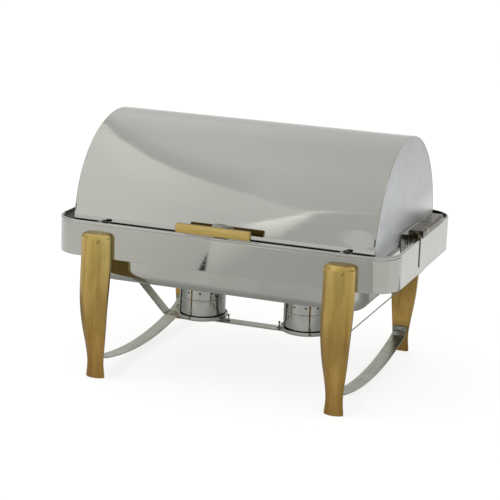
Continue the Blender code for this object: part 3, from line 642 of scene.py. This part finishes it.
def make_leg_screw(node, sign_y):
    """A brass oval head set flush in the casting, with a deep recess that holds a dark hexagon of painted
    shade.
    """
    low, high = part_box(node)
    radius, height = (high.x - low.x) / 2, high.y - low.y
    base = Vector(((low.x + high.x) / 2, low.y if sign_y > 0 else high.y, (low.z + high.z) / 2))
    recess = 0.42 * radius
    profile = [(0.0, 0.5 * height), (recess, 0.5 * height), (recess, 0.90 * height)]
    profile += [(0.62 * radius, 0.97 * height), (0.80 * radius, 0.86 * height), (radius, 0.58 * height)]
    profile += [(radius, 0.0), (0.0, 0.0)]
    axis = (0, sign_y, 0)
    turned_piece(node + "_head", profile, base, LEG_BRASS, "stand", (node,), axis, 24)
    fill = recess + 0.0001
    dark = [(0.0, 0.86 * height), (fill, 0.86 * height), (fill, 0.4 * height), (0.0, 0.4 * height)]
    turned_piece(node + "_recess", dark, base, SHADE_FILLER, "stand", (), axis, 6)


def make_legs():
    for end, sign_y in ENDS:
        for side, _ in SIDES:
            make_leg(end, side, sign_y)
            make_leg_screw(f"leg_screw_{end}_{side}", sign_y)


def make_screw(node, axis, dimple=0.35):
    """A domed head with a drive recess, in the place and size of its CAD node."""
    low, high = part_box(node)
    centre = (low + high) / 2
    direction = Vector(axis)
    size = high - low
    along = [abs(value) for value in direction]
    height = sum(a * s for a, s in zip(along, size))
    radius = max(s for a, s in zip(along, size) if a < 0.5) / 2
    base = centre - direction * height / 2
    profile = dome_head(radius, height, dimple * height)
    turned_piece(node + "_head", profile, base, SCREW_STEEL, "stand", (node,), axis, 28)


def make_stretchers():
    """Flat arcs between the legs, their ends turned up against the legs' backs."""
    for side, _ in SIDES:
        node = "stretcher_" + side
        low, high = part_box(node)
        sheet = 0.0018
        tab_y = high.y - sheet / 2
        middle_z = low.z + sheet / 2
        rise = 0.024
        radius = (tab_y ** 2 + rise ** 2) / (2 * rise)
        bend_z = middle_z + rise + 0.004
        path = [(-tab_y, high.z), (-tab_y, bend_z)]
        steps = 60
        reach = tab_y - 0.012
        for k in range(steps + 1):
            y = -reach + 2 * reach * k / steps
            path.append((y, middle_z + radius - sqrt(radius ** 2 - y ** 2)))
        path += [(tab_y, bend_z), (tab_y, high.z)]
        eased = [path[0]] + round_corners(path[:4], 0.006)[1:-2] + path[3:-3]
        eased += round_corners(path[-4:], 0.006)[2:-1] + [path[-1]]
        outline = bar_outline(low.x, high.x, sheet, 0.0007)
        sweep(node + "_bar", eased, outline, "Y", CROSS_STEEL, "stand", (node,))
        for end, sign_y in ENDS:
            make_screw(f"stretcher_screw_{end}_{side}", (0, -sign_y, 0))


def make_locating_pin(side):
    """The slim pin beside a burner: a round tip on a stem that rises from a small foot."""
    low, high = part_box("burner_stud_" + side)
    foot, top = (high.x - low.x) / 2, high.z - low.z
    profile = [(0.0, top), (0.0011, top - 0.0002), (0.0020, top - 0.0010), (0.0024, top - 0.0022)]
    profile += [(0.0021, top - 0.0034), (0.0016, top - 0.0040), (0.0016, 0.0022)]
    profile += [(foot - 0.0008, 0.0014), (foot, 0.0009), (foot, 0.0), (0.0, 0.0)]
    turned_piece(
        "locating_pin_" + side, profile, base_centre(low, high), SCREW_STEEL, "stand",
        ("burner_stud_" + side,), steps=32,
    )


def make_strap():
    """The burner strap, with eased edges and generous bends."""
    low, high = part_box("burner_strap")
    sheet = 0.002
    wall_x = high.x - sheet / 2
    z = low.z + sheet / 2
    bend_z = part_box("apron_frame")[0].z - 0.002
    path = (
        (-wall_x, high.z), (-wall_x, bend_z), (-STRAP_FLAT, z),
        (STRAP_FLAT, z), (wall_x, bend_z), (wall_x, high.z),
    )
    outline = bar_outline(low.y, high.y, sheet, 0.0008)
    eased = round_corners(path, 0.009, 12)
    sweep("burner_strap_bar", eased, outline, "X", BAR_STEEL, "stand", ("burner_strap",))
    for side, sign_x in SIDES:
        make_screw("strap_rivet_" + side, (-sign_x, 0, 0), dimple=0.0)
        make_locating_pin(side)


# ---------------------------------------------------------------- the lid

def make_lid():
    """The rolled shell with its end edges turned over the end plates."""
    low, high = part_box("lid_shell")
    half, radius, pivot_z = high.x, high.y, low.z
    steps = 128
    rows = arc((half - LID_EDGE, radius - LID_EDGE), LID_EDGE, 0, 90, 8)
    outer = [(-x, r) for x, r in rows] + [(x, r) for x, r in reversed(rows)]
    inner = [(half, radius - LID_SHEET - 0.0008), (half - 0.0006, radius - LID_SHEET)]
    section = outer + inner + [(-x, r) for x, r in reversed(inner)]

    def around(points, angle):
        return [Vector((x, -r * cos(angle), pivot_z + r * sin(angle))) for x, r in points]

    loops = [around(section, pi * k / steps) for k in range(steps + 1)]
    skinned_piece("lid_roll_top", loops, LID_STEEL, "lid", ("lid_shell",))
    # Short dark strips of painted shade in the seam gaps where the shell meets the end plates.
    gap = (
        (half - 0.0030, radius - 0.001), (half - 0.0030, radius + 0.00012),
        (half - 0.0012, radius - 0.00005), (half - 0.0012, radius - 0.001),
    )
    for side, sign_x in SIDES:
        make_lid_end(side, sign_x, pivot_z)
        sided = [(sign_x * x, r) for x, r in gap]
        for start, end in SEAM_GAPS:
            loops = [around(sided, radians(start + (end - start) * k / 6)) for k in range(7)]
            skinned_piece(f"lid_seam_gap_{side}_{int(start)}", loops, SHADE_FILLER, "lid")


def make_lid_end(side, sign_x, pivot_z):
    """A half-disc plate with a round ear below its middle, and the bearing disc inside it."""
    low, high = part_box("lid_end_" + side)
    hub_radius = pivot_z - low.z
    outline = arc((0.0, pivot_z), high.y, 0, 180, 128) + arc((0.0, pivot_z), hub_radius, 180, 360, 24)
    faces = (low.x, high.x) if sign_x > 0 else (high.x, low.x)
    loops = [[Vector((x, y, z)) for y, z in outline] for x in faces]
    skinned_piece(
        "lid_end_plate_" + side, loops, END_STEEL, "lid", ("lid_end_" + side,),
    )
    low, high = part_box("lid_hub_" + side)
    thick = high.x - low.x
    near = high.x if sign_x > 0 else low.x
    profile = [
        (0.0042, 0.0), (hub_radius - 0.0006, 0.0), (hub_radius, 0.0006),
        (hub_radius, thick - 0.0006), (hub_radius - 0.0006, thick), (0.0042, thick),
    ]
    turned_piece(
        "lid_hub_disc_" + side, profile, (near, 0.0, pivot_z), CROSS_STEEL, "lid",
        ("lid_hub_" + side,), (-sign_x, 0, 0), 48,
    )


def make_handle():
    """The brass bar, and its steel stand-off with a shoulder at each face."""
    low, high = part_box("handle_bar")
    round_block("handle_brass_bar", low, high, 0.0028, HANDLE_BRASS, "lid", ("handle_bar",), 5)
    front_y = high.y + 0.0002
    low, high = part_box("handle_mount")
    shell_low, shell_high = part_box("lid_shell")
    pivot_z, radius = shell_low.z, shell_high.y
    stations = ((0.0, 1.0), (0.004, 1.0), (0.0075, 0.86), (0.5, 0.80), (0.86, 0.84), (1.0, 1.0))
    half_x, half_z = (high.x - low.x) / 2, (high.z - low.z) / 2
    centre_z = (high.z + low.z) / 2
    steps = 40
    loops = []
    for along, size in stations:
        loop = []
        for k in range(steps):
            angle = 2 * pi * k / steps
            across = copysign(abs(cos(angle)) ** 0.45, cos(angle))
            upright = copysign(abs(sin(angle)) ** 0.6, sin(angle))
            x = half_x * size * across
            z = centre_z + half_z * size * upright
            back_y = -sqrt(radius ** 2 - (z - pivot_z) ** 2) - 0.0002
            share = along if along > 0.02 else along / 0.03
            loop.append(Vector((x, front_y + (back_y - front_y) * min(share, 1.0), z)))
        loops.append(loop)
    skinned_piece("handle_stand_off", loops, BURNER_STEEL, "lid", ("handle_mount",))


# ---------------------------------------------------------------- pans

def edge_loops(half_x, half_y, corner, bottom, edge, steps=12):
    """The rounded edge between a pan's floor and its wall."""
    loops = []
    for inset, z in arc((edge, bottom + edge), edge, 270, 180, steps):
        loops.append(rounded_rectangle(half_x - inset, half_y - inset, max(corner - inset, 0.008), z))
    return loops


def pressed_pan(name, loops, sheet, material, body, node):
    """A pressed pan: a skin through the loops with a flat floor, thickened inwards."""
    bm = bmesh.new()
    add_loops(bm, loops, cap_first=True)
    obj = new_object(name, bm, material)
    solid = obj.modifiers.new("sheet", "SOLIDIFY")
    solid.thickness = sheet
    solid.offset = -1.0
    solid.use_even_offset = True
    return enrol(obj, body, (node,))


def make_water_pan():
    """The deep pan, its wall bent out to a flange that rests on the ledges."""
    low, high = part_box("water_pan")
    half_x, half_y = WATER_WALL
    flange_z = high.z - 0.0012
    loops = edge_loops(half_x - 0.002, half_y - 0.002, WATER_CORNER, low.z, WATER_EDGE)
    bend = 0.003
    for out, z in arc((bend, flange_z - bend), bend, 180, 90, 4):
        loops.append(rounded_rectangle(half_x + out, half_y + out, WATER_CORNER + out, z))
    corner = WATER_CORNER + high.x - half_x
    loops.append(rounded_rectangle(high.x, high.y, corner, flange_z))
    pressed_pan(
        "water_pan_pressing", loops, 0.0012, PAN_STEEL, "water_pan_set", "water_pan",
    )


def make_pan_rest():
    """The frame on the water pan that the food pan hangs in."""
    low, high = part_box("pan_rest_frame")
    sheet = 0.0015
    corner = WATER_CORNER + 0.005
    outer = (
        (-sheet, low.z + sheet), (-sheet, high.z - 0.0005), (-sheet / 2, high.z),
        (0.0, high.z - 0.0005), (0.0, low.z + 0.001), (-0.001, low.z),
    )
    loops = [rounded_rectangle(*REST_OPENING, FOOD_CORNER, z) for z in (low.z, low.z + sheet)]
    loops += [rounded_rectangle(high.x + out, high.y + out, corner + out, z) for out, z in outer]
    skinned_piece(
        "pan_rest_pressing", loops, INNER_STEEL, "water_pan_set", ("pan_rest_frame",),
        ring=True,
    )


def make_food_pan():
    """The food pan, its wall flared in steps to a flat rim."""
    low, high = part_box("food_pan")
    half_x, half_y = FOOD_WALL
    rim_z = high.z - 0.001
    loops = edge_loops(half_x - 0.0075, half_y - 0.0075, FOOD_CORNER, low.z, FOOD_EDGE)
    upper_wall = (
        (-0.0028, 0.0, 0.011), (-0.0003, 0.0, 0.009), (0.0, 0.0, 0.0015), (0.0004, 0.0, 0.0004),
        (0.0015, 0.0015, 0.0),
    )                                  # (out, more corner radius, below the rim)
    for out, more, below in upper_wall:
        loops.append(rounded_rectangle(half_x + out, half_y + out, FOOD_CORNER + more, rim_z - below))
    loops.append(rounded_rectangle(high.x, high.y, FOOD_CORNER + high.x - half_x, rim_z))
    pressed_pan("food_pan_pressing", loops, 0.001, INNER_STEEL, "food_pan_set", "food_pan")


# ---------------------------------------------------------------- burners

def burner_part(name, node, side, profile, base, material=BURNER_STEEL, steps=96):
    turned_piece(name + side, profile, base, material, "burner_" + side, (node + side,), steps=steps)


def make_burner_dish(side):
    """The dished foot with its rolled rim. Returns the burner's centre."""
    low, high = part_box("burner_base_" + side)
    centre = ((low.x + high.x) / 2, (low.y + high.y) / 2, 0.0)
    radius = (high.x - low.x) / 2
    foot, rim_top = low.z, high.z
    base_z = foot + 0.0035
    floor_z = base_z + 0.0017
    inner = radius - 0.0018
    roll, bend, fillet = 0.0009, 0.003, 0.0015
    profile = [(0.0, floor_z), (inner - fillet, floor_z), (inner, floor_z + fillet)]
    profile += [(inner, rim_top - roll)]
    for angle in (0.5, 1.1, 1.57, 2.1, 2.6):
        profile.append((inner + roll - roll * cos(angle), rim_top - roll + roll * sin(angle)))
    profile += [(radius, rim_top - roll), (radius, base_z + bend)]
    for angle in (0.4, 0.8, 1.2, 1.57):
        profile.append((radius - bend + bend * cos(angle), base_z + bend - bend * sin(angle)))
    profile += [(0.036, base_z), (0.0345, base_z - 0.0008), (0.0335, foot + 0.0006)]
    profile += [(0.0325, foot), (0.0, foot)]
    burner_part("burner_dish_", "burner_base_", side, profile, centre)
    return centre


def make_fuel_cup(side, centre):
    """The straight wall round the fuel can, its edge turned out to a small bead."""
    low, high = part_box("fuel_cup_" + side)
    top, bottom = high.z, low.z
    sheet, bead, bend = 0.001, 0.0006, 0.003
    wall = (high.x - low.x) / 2 - bead
    profile = [(0.0, bottom + sheet), (wall - sheet - 0.002, bottom + sheet)]
    profile += [(wall - sheet, bottom + bend), (wall - sheet, top), (wall, top)]
    for angle in (0.5, 1.0, 1.57, 2.1, 2.6, 3.1):
        profile.append((wall + bead * sin(angle), top - 0.0015 + 0.0015 * cos(angle)))
    profile += [(wall, bottom + bend), (wall - 0.001, bottom + 0.001)]
    profile += [(wall - bend, bottom), (0.0, bottom)]
    burner_part("fuel_cup_wall_", "fuel_cup_", side, profile, centre)


def make_fuel_cover(side, centre):
    """The drawn cover with a round shoulder and mouth, and the ring of vents near its foot as dark discs
    of painted shade.
    """
    low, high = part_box("fuel_cover_" + side)
    wall = (high.x - low.x) / 2
    top, skirt = high.z, low.z
    mouth, shoulder, sheet = 0.025, 0.005, 0.0012
    profile = [(mouth, top - 0.0006), (mouth + 0.0003, top - 0.0001), (mouth + 0.001, top)]
    shoulder_x, shoulder_z = wall - shoulder, top - shoulder
    profile += arc((shoulder_x, shoulder_z), shoulder, 90, 0, 10)
    profile += [(wall, skirt + 0.0004), (wall - 0.0004, skirt), (wall - 0.001, skirt)]
    profile += [(wall - 0.001, shoulder_z), (shoulder_x, top - sheet), (mouth, top - sheet)]
    burner_part("fuel_cover_drawn_", "fuel_cover_", side, profile, centre)
    vents = bmesh.new()
    vent_z, vent_count = skirt + 0.0135, 12
    for k in range(vent_count):
        angle = radians(360 / vent_count * (k + 0.5))
        out = Vector((cos(angle), sin(angle), 0.0))
        spot = Vector(centre) + out * (wall - 0.0002) + Vector((0.0, 0.0, vent_z))
        add_turned(vents, [(0.0, 0.0003), (0.0019, 0.0003), (0.0022, 0.0), (0.0, 0.0)], spot, out, 16)
    bmesh.ops.remove_doubles(vents, verts=vents.verts, dist=1e-6)
    piece("fuel_cover_vents_" + side, vents, SHADE_FILLER, "burner_" + side)


def make_damper_pivot(side):
    """The headed pin that the damper swings on. Returns the middle of its box."""
    low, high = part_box("damper_pivot_" + side)
    pivot = (low + high) / 2
    head = high.x - pivot.x
    height = high.z - low.z
    neck = height - 0.0019
    profile = [(0.0, height), (0.0012, height), (0.0013, height - 0.0005), (0.0026, height - 0.0004)]
    profile += [(0.82 * head, height - 0.0008), (head, neck + 0.0004), (head - 0.0003, neck)]
    profile += [(0.0025, neck), (0.0025, 0.0), (0.0, 0.0)]
    base = (pivot.x, pivot.y, low.z)
    burner_part("damper_bolt_", "damper_pivot_", side, profile, base, SCREW_STEEL, 32)
    return pivot


def make_burner(side):
    centre = make_burner_dish(side)
    make_fuel_cup(side, centre)
    make_fuel_cover(side, centre)
    make_damper(side, make_damper_pivot(side))


def make_damper(side, pivot):
    """The swinging flat disc with eased edges, and its knurled knob."""
    body = "damper_" + side
    low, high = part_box("damper_plate_" + side)
    knob_low, knob_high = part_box("damper_knob_" + side)
    knob = (knob_low + knob_high) / 2
    heading = Vector((knob.x - pivot.x, knob.y - pivot.y, 0.0)).normalized()
    across = Vector((-heading.y, heading.x, 0.0))
    reach, disc, eye, spread_angle = 0.035, 0.028, 0.0062, 23
    outline = arc((0.0, 0.0), eye, 90, 270, 16)
    outline += arc((reach, 0.0), disc, spread_angle - 180, 180 - spread_angle, 72)
    bore = [tuple(0.0029 * Vector(point).normalized()) for point in outline]
    edge = 0.0003

    def ring(points, z):
        return [Vector((pivot.x, pivot.y, z)) + heading * u + across * v for u, v in points]

    def shrunk(points, by):
        middle = Vector((reach * 0.7, 0.0))
        return [tuple(Vector(p) + (middle - Vector(p)).normalized() * by) for p in points]

    loops = [
        ring(bore, low.z), ring(shrunk(outline, edge), low.z), ring(outline, low.z + edge),
        ring(outline, high.z - edge), ring(shrunk(outline, edge), high.z), ring(bore, high.z),
    ]
    skinned_piece(
        "damper_disc_" + side, loops, CROSS_STEEL, body, ("damper_plate_" + side,),
        ring=True,
    )
    height = knob_high.z - knob_low.z
    top = (knob_high.x - knob_low.x) / 2
    profile = [(0.0, height), (0.55 * top, 0.98 * height), (0.8 * top, 0.93 * height)]
    for k in range(5):
        z = height * (0.86 - 0.075 * k)
        profile += [(top, z), (top, z - 0.02 * height), (0.93 * top, z - 0.04 * height)]
    profile += [(0.62 * top, 0.44 * height), (0.52 * top, 0.36 * height), (0.55 * top, 0.0), (0.0, 0.0)]
    turned_piece(
        "damper_knob_turned_" + side, profile, (knob.x, knob.y, knob_low.z), SCREW_STEEL, body,
        ("damper_knob_" + side,), steps=40,
    )


# ---------------------------------------------------------------- hinges and small parts

def make_hinge_saddle(side, sign_x):
    """The drawn saddle over the apron's end, hollow underneath."""
    low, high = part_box("hinge_cover_" + side)
    if sign_x > 0:
        low.x += SADDLE_NARROWER
    else:
        high.x -= SADDLE_NARROWER
    low.y += SADDLE_SHORTER
    centre = ((low.x + high.x) / 2, (low.y + high.y) / 2)
    half_x, half_y = (high.x - low.x) / 2, (high.y - low.y) / 2
    corner, edge, sheet = 0.009, 0.005, 0.0012
    loops = [rounded_rectangle(half_x, half_y, corner, low.z, 10, centre)]
    for inset, z in arc((edge, high.z - edge), edge, 180, 90, 10):
        loops.append(rounded_rectangle(half_x - inset, half_y - inset, corner - inset, z, 10, centre))
    inner = [
        rounded_rectangle(half_x - sheet - i, half_y - sheet - i, corner - sheet - i, z, 10, centre)
        for i, z in ((edge - 0.0015, high.z - sheet), (0.001, high.z - edge), (0.0, low.z))
    ]
    bm = bmesh.new()
    outer_rings = add_loops(bm, loops, cap_last=True)
    inner_rings = add_loops(bm, inner, cap_first=True)
    strip_of_quads(bm, inner_rings[-1], outer_rings[0])
    piece("hinge_saddle_" + side, bm, HINGE_STEEL, "stand", ("hinge_cover_" + side,))


def make_hinge_bracket(side, sign_x):
    """The plate bent over the apron's end, inside the saddle."""
    low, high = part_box("hinge_bracket_" + side)
    sheet = 0.0015
    near, far = low.x + sheet / 2, high.x - sheet / 2
    if sign_x < 0:
        near, far = far, near
    top = high.z - sheet / 2
    path = [(near, BRACKET_INNER_END), (near, top), (far, top), (far, low.z)]
    outline = bar_outline(low.y, high.y, sheet, 0.0005)
    eased = round_corners(path, 0.003, 8)
    sweep(
        "hinge_bracket_bent_" + side, eased, outline, "X", BAND_STEEL, "stand",
        ("hinge_bracket_" + side,),
    )


def make_small_parts():
    """The rubber bumpers that the closed lid rests on, with their rivets."""
    for side, _ in SIDES:
        low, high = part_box("lid_bumper_" + side)
        round_block(
            "bumper_block_" + side, low, high, 0.0014, RUBBER, "stand",
            ("lid_bumper_" + side,), 5,
        )
        make_screw("bumper_rivet_" + side, (0, 0, 1), dimple=0.0)


def dress(names, material):
    """A CAD node that stays gets its procedural finish."""
    for name in names:
        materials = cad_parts[name].data.materials
        materials.clear()
        materials.append(material)


# ---------------------------------------------------------------- studio

def make_camera():
    data = bpy.data.cameras.new("camera")
    data.sensor_width = 36.0
    data.lens = 126.86
    data.clip_start = 0.05
    data.clip_end = 100.0
    camera = bpy.data.objects.new("camera", data)
    bpy.context.scene.collection.objects.link(camera)
    yaw, pitch, roll = 0.3545, 0.2536, 0.0354
    forward = Vector((-sin(yaw) * cos(pitch), cos(yaw) * cos(pitch), -sin(pitch)))
    right = Vector((cos(yaw), sin(yaw), 0.0))
    up = right.cross(forward)
    across = right * cos(roll) + up * sin(roll)
    upright = up * cos(roll) - right * sin(roll)
    matrix = Matrix((across, upright, -forward)).transposed().to_4x4()
    matrix.translation = Vector((1.09867, -3.00269, 1.05068))
    camera.matrix_world = matrix
    bpy.context.scene.camera = camera


def sheet_card(name, corners, stops, axis="X"):
    """A sheet with its own glow along an axis, seen in polished metal and not by the camera."""
    mesh = bpy.data.meshes.new(name)
    mesh.from_pydata([Vector(corner) for corner in corners], [], [tuple(range(len(corners)))])
    material = bpy.data.materials.new(name)
    material.use_nodes = True
    tree = material.node_tree
    tree.nodes.clear()
    white = add_node(tree, "RGB", {}).outputs["Color"]
    white.default_value = (1.0, 1.0, 0.975, 1.0)
    glow = shade_along(tree, white, axis, [(at, (tone, tone, tone)) for at, tone in stops])
    emission = add_node(tree, "Emission", {"Color": glow, "Strength": 1.0})
    add_node(tree, "OutputMaterial", {"Surface": emission.outputs["Emission"]})
    mesh.materials.append(material)
    obj = bpy.data.objects.new(name, mesh)
    bpy.context.scene.collection.objects.link(obj)
    obj.visible_camera = False
    obj.visible_diffuse = False
    obj.visible_shadow = False


class Value:
    """A number that shader nodes work out from a ray's direction, with the usual operators."""

    def __init__(self, output):
        self.output = output
        self.tree = output.id_data

    def math(self, operation, *others):
        values = (self.output,) + tuple(getattr(other, "output", other) for other in others)
        node = add_node(self.tree, "Math", dict(enumerate(values)))
        node.operation = operation
        return Value(node.outputs["Value"])

    def __add__(self, other):
        return self.math("ADD", other)

    def __sub__(self, other):
        return self.math("SUBTRACT", other)

    def __mul__(self, other):
        return self.math("MULTIPLY", other)

    def __truediv__(self, other):
        return self.math("DIVIDE", other)

    def step(self, low, high):
        """0 below low, 1 above high, smooth between; low may be greater than high."""
        flip = low > high
        node = add_node(self.tree, "MapRange", {
            "From Min": min(low, high), "From Max": max(low, high),
            "To Min": 1.0 if flip else 0.0, "To Max": 0.0 if flip else 1.0, "Value": self.output,
        })
        node.interpolation_type = "SMOOTHSTEP"
        return Value(node.outputs["Result"])

    def curve(self, points):
        """A smooth curve through (value, result) points."""
        low, high = points[0][0], points[-1][0]
        share = (self - low) / (high - low)
        node = add_node(self.tree, "FloatCurve", {"Value": share.output})
        line = node.mapping.curves[0]
        top = max(result for _, result in points)
        line.points[0].location = (0.0, points[0][1] / top)
        line.points[1].location = (1.0, points[-1][1] / top)
        for at, result in points[1:-1]:
            line.points.new((at - low) / (high - low), result / top)
        node.mapping.update()
        return Value(node.outputs["Value"]) * top

    def toward(self, target, share):
        """This value where the share is 0, the target where it is 1."""
        gap = self * -1.0 + target
        return share.math("MULTIPLY_ADD", gap, self)


def make_world():
    """A soft tent: pale ceiling, lighter to the left, a seam across, a gleam and a grey wall in front."""
    world = bpy.data.worlds.new("studio")
    world.use_nodes = True
    tree = world.node_tree
    source = add_node(tree, "TexCoord", {}).outputs["Generated"]
    split = add_node(tree, "SeparateXYZ", {"Vector": source})
    across, deep, height = (Value(split.outputs[axis]) for axis in "XYZ")
    # The angle from the front horizon (0) over the zenith (90) to the rear horizon (180)
    over = height.math("ARCTAN2", deep * -1.0) * (180 / pi)
    past_seam = over - across.curve((
        (-0.46, 140), (-0.423, 123), (-0.411, 98), (-0.405, 90), (-0.395, 76), (-0.384, 66.5),
        (-0.372, 58.5), (-0.359, 52), (-0.347, 47), (-0.337, 43.5), (-0.328, 38.5), (-0.317, 35),
        (-0.30, 34.7), (-0.285, 37.5), (-0.22, 43),
    ))
    wall = across.curve((
        (-0.36, 4), (-0.345, 8), (-0.334, 14.8), (-0.327, 19.3), (-0.320, 23.6), (-0.312, 28.2),
        (-0.303, 34.2), (-0.285, 37.5), (-0.22, 43),
    ))
    grey = across.curve((
        (-0.36, 0), (-0.33, 0.5), (-0.323, 2), (-0.319, 7.5), (-0.315, 13.5), (-0.311, 19),
        (-0.307, 25), (-0.302, 32), (-0.285, 37.5), (-0.22, 43),
    ))
    past_grey = over - grey
    ceiling = across.step(-0.39, -0.26) * -0.13 + 1.05
    ceiling = ceiling.toward(ceiling * 0.93, past_seam.step(60, 12))
    left = across.step(-0.415, -0.340) * -0.215 + 1.26
    left = left.toward(left * 0.93, past_seam.step(-8, -55))
    tone = left.toward(ceiling, past_seam.step(-2, 3))
    shade = past_seam.step(-2.5, 2.5) * past_seam.step(30, 6) * across.step(-0.330, -0.352)
    tone = tone.toward(0.83, shade)
    rise = past_grey / (wall - grey).math("MAXIMUM", 1.0)
    gleam = rise.step(0.0, 1.1) * 0.5 + 1.12
    tone = tone.toward(gleam, (over - wall).step(1.2, -1.2) * across.step(-0.344, -0.334))
    tone = tone.toward(0.80, past_grey.step(3.5, -3.5) * across.step(-0.334, -0.326))
    spot_x = (across - -0.279) / 0.0085
    spot_y = (over - 9.5) / 10.5
    tone = tone.toward(0.985, (spot_x * spot_x + spot_y * spot_y).step(1.15, 0.75))
    tone = tone.toward(0.78, over.step(140, 168))
    tone = tone.toward(0.80, over.step(0, -20))
    # Polished metal reflects more at a glancing angle, so the tent is dimmer towards its two ends
    tone = tone.toward(tone * 0.60, across.math("ABSOLUTE").step(0.50, 0.92))
    tint = add_node(tree, "CombineColor", {
        "Red": (tone * 1.0).output, "Green": (tone * 1.004).output, "Blue": (tone * 0.985).output,
    })
    soft = tree.nodes["Background"]
    plug(tree, soft, {"Color": tint.outputs["Color"], "Strength": 1.0})
    paper = add_node(tree, "Background", {"Color": (1.0, 1.0, 0.995, 1.0), "Strength": 1.1})
    path = add_node(tree, "LightPath", {})
    choose = add_node(tree, "MixShader", {
        0: path.outputs["Is Camera Ray"], 1: soft.outputs["Background"], 2: paper.outputs["Background"],
    })
    plug(tree, tree.nodes["World Output"], {"Surface": choose.outputs["Shader"]})
    bpy.context.scene.world = world


def make_floor():
    """White paper, lit so that only the faintest shadow is left on it."""
    bm = bmesh.new()
    bmesh.ops.create_grid(bm, x_segments=2, y_segments=2, size=40.0)
    material, tree, shader = new_material("floor_paper", (0.26, 0.26, 0.26), 0.9, 0.0)
    plug(tree, shader, {
        "Emission Color": (1.0, 1.0, 0.995, 1.0), "Emission Strength": 0.80, "Specular IOR Level": 0.0,
    })
    floor = new_object("floor", bm, material)
    floor.location.z = -0.0006


def make_cards():
    """Grey sheets in front and under, which only polished metal sees, and the slit between two."""
    far, near = -3.2, -0.36
    seam_far, seam_near = (-1.065, far), (-0.130, near)
    left_edge, right_edge, end_edge = -3.0, 0.55, 2.6
    sheets = (
        ("sheet_left", ((left_edge, far), seam_far, seam_near, (left_edge, near)), "X",
         ((-0.80, 1.02), (-0.62, 1.00), (-0.50, 0.93), (-0.41, 0.87), (-0.345, 0.80))),
        ("sheet_right", (seam_far, (right_edge, far), (right_edge, near), seam_near), "X",
         ((-0.42, 1.08), (-0.37, 1.02), (-0.335, 0.90), (-0.29, 0.78), (-0.17, 0.745), (0.0, 0.70),
          (0.55, 0.66))),
        ("sheet_far_right",
         ((right_edge, far), (end_edge, far), (end_edge, near), (right_edge, near)), "X",
         ((0.55, 0.94), (0.9, 0.98))),
        ("sheet_under", ((-0.9, near), (0.9, near), (0.9, 0.6), (-0.9, 0.6)), "Y",
         ((-0.36, 0.76), (-0.26, 0.61), (-0.17, 0.48), (-0.10, 0.42), (0.20, 0.34), (0.6, 0.7))),
    )
    for name, corners, axis, stops in sheets:
        sheet_card(name, [(x, y, 0.0) for x, y in corners], stops, axis)
    slit = ((-0.394, -1.150, 0.0002), (-0.343, -0.962, 0.0002), (-0.328, -0.970, 0.0002))
    sheet_card("slit", slit, ((-0.40, 0.03), (-0.32, 0.02)))


def make_studio():
    scene = bpy.context.scene
    scene.view_settings.view_transform = "Standard"
    make_world()
    make_floor()
    make_cards()
    light = bpy.data.lights.new("soft_box", "AREA")
    light.shape = "RECTANGLE"
    light.size = 1.6
    light.size_y = 1.2
    light.energy = 14.0
    lamp = bpy.data.objects.new("soft_box", light)
    lamp.location = (-1.7, -1.4, 2.4)
    lamp.rotation_euler = (Vector((0, 0, 0.25)) - lamp.location).to_track_quat("-Z", "Y").to_euler()
    lamp.visible_glossy = False
    scene.collection.objects.link(lamp)


make_camera()
make_studio()
make_apron()
make_legs()
make_stretchers()
make_strap()
make_lid()
make_handle()
make_water_pan()
make_pan_rest()
make_food_pan()
for side_name, side_sign in SIDES:
    make_burner(side_name)
    make_hinge_saddle(side_name, side_sign)
    make_hinge_bracket(side_name, side_sign)
make_small_parts()
dress(("front_ledge", "pan_rail_left", "pan_rail_right"), BAR_STEEL)
dress(
    [f"{kind}_{side}" for kind in ("pivot_bolt", "pivot_washer", "pivot_nut") for side, _ in SIDES]
    + ["handle_screw"],
    SCREW_STEEL,
)
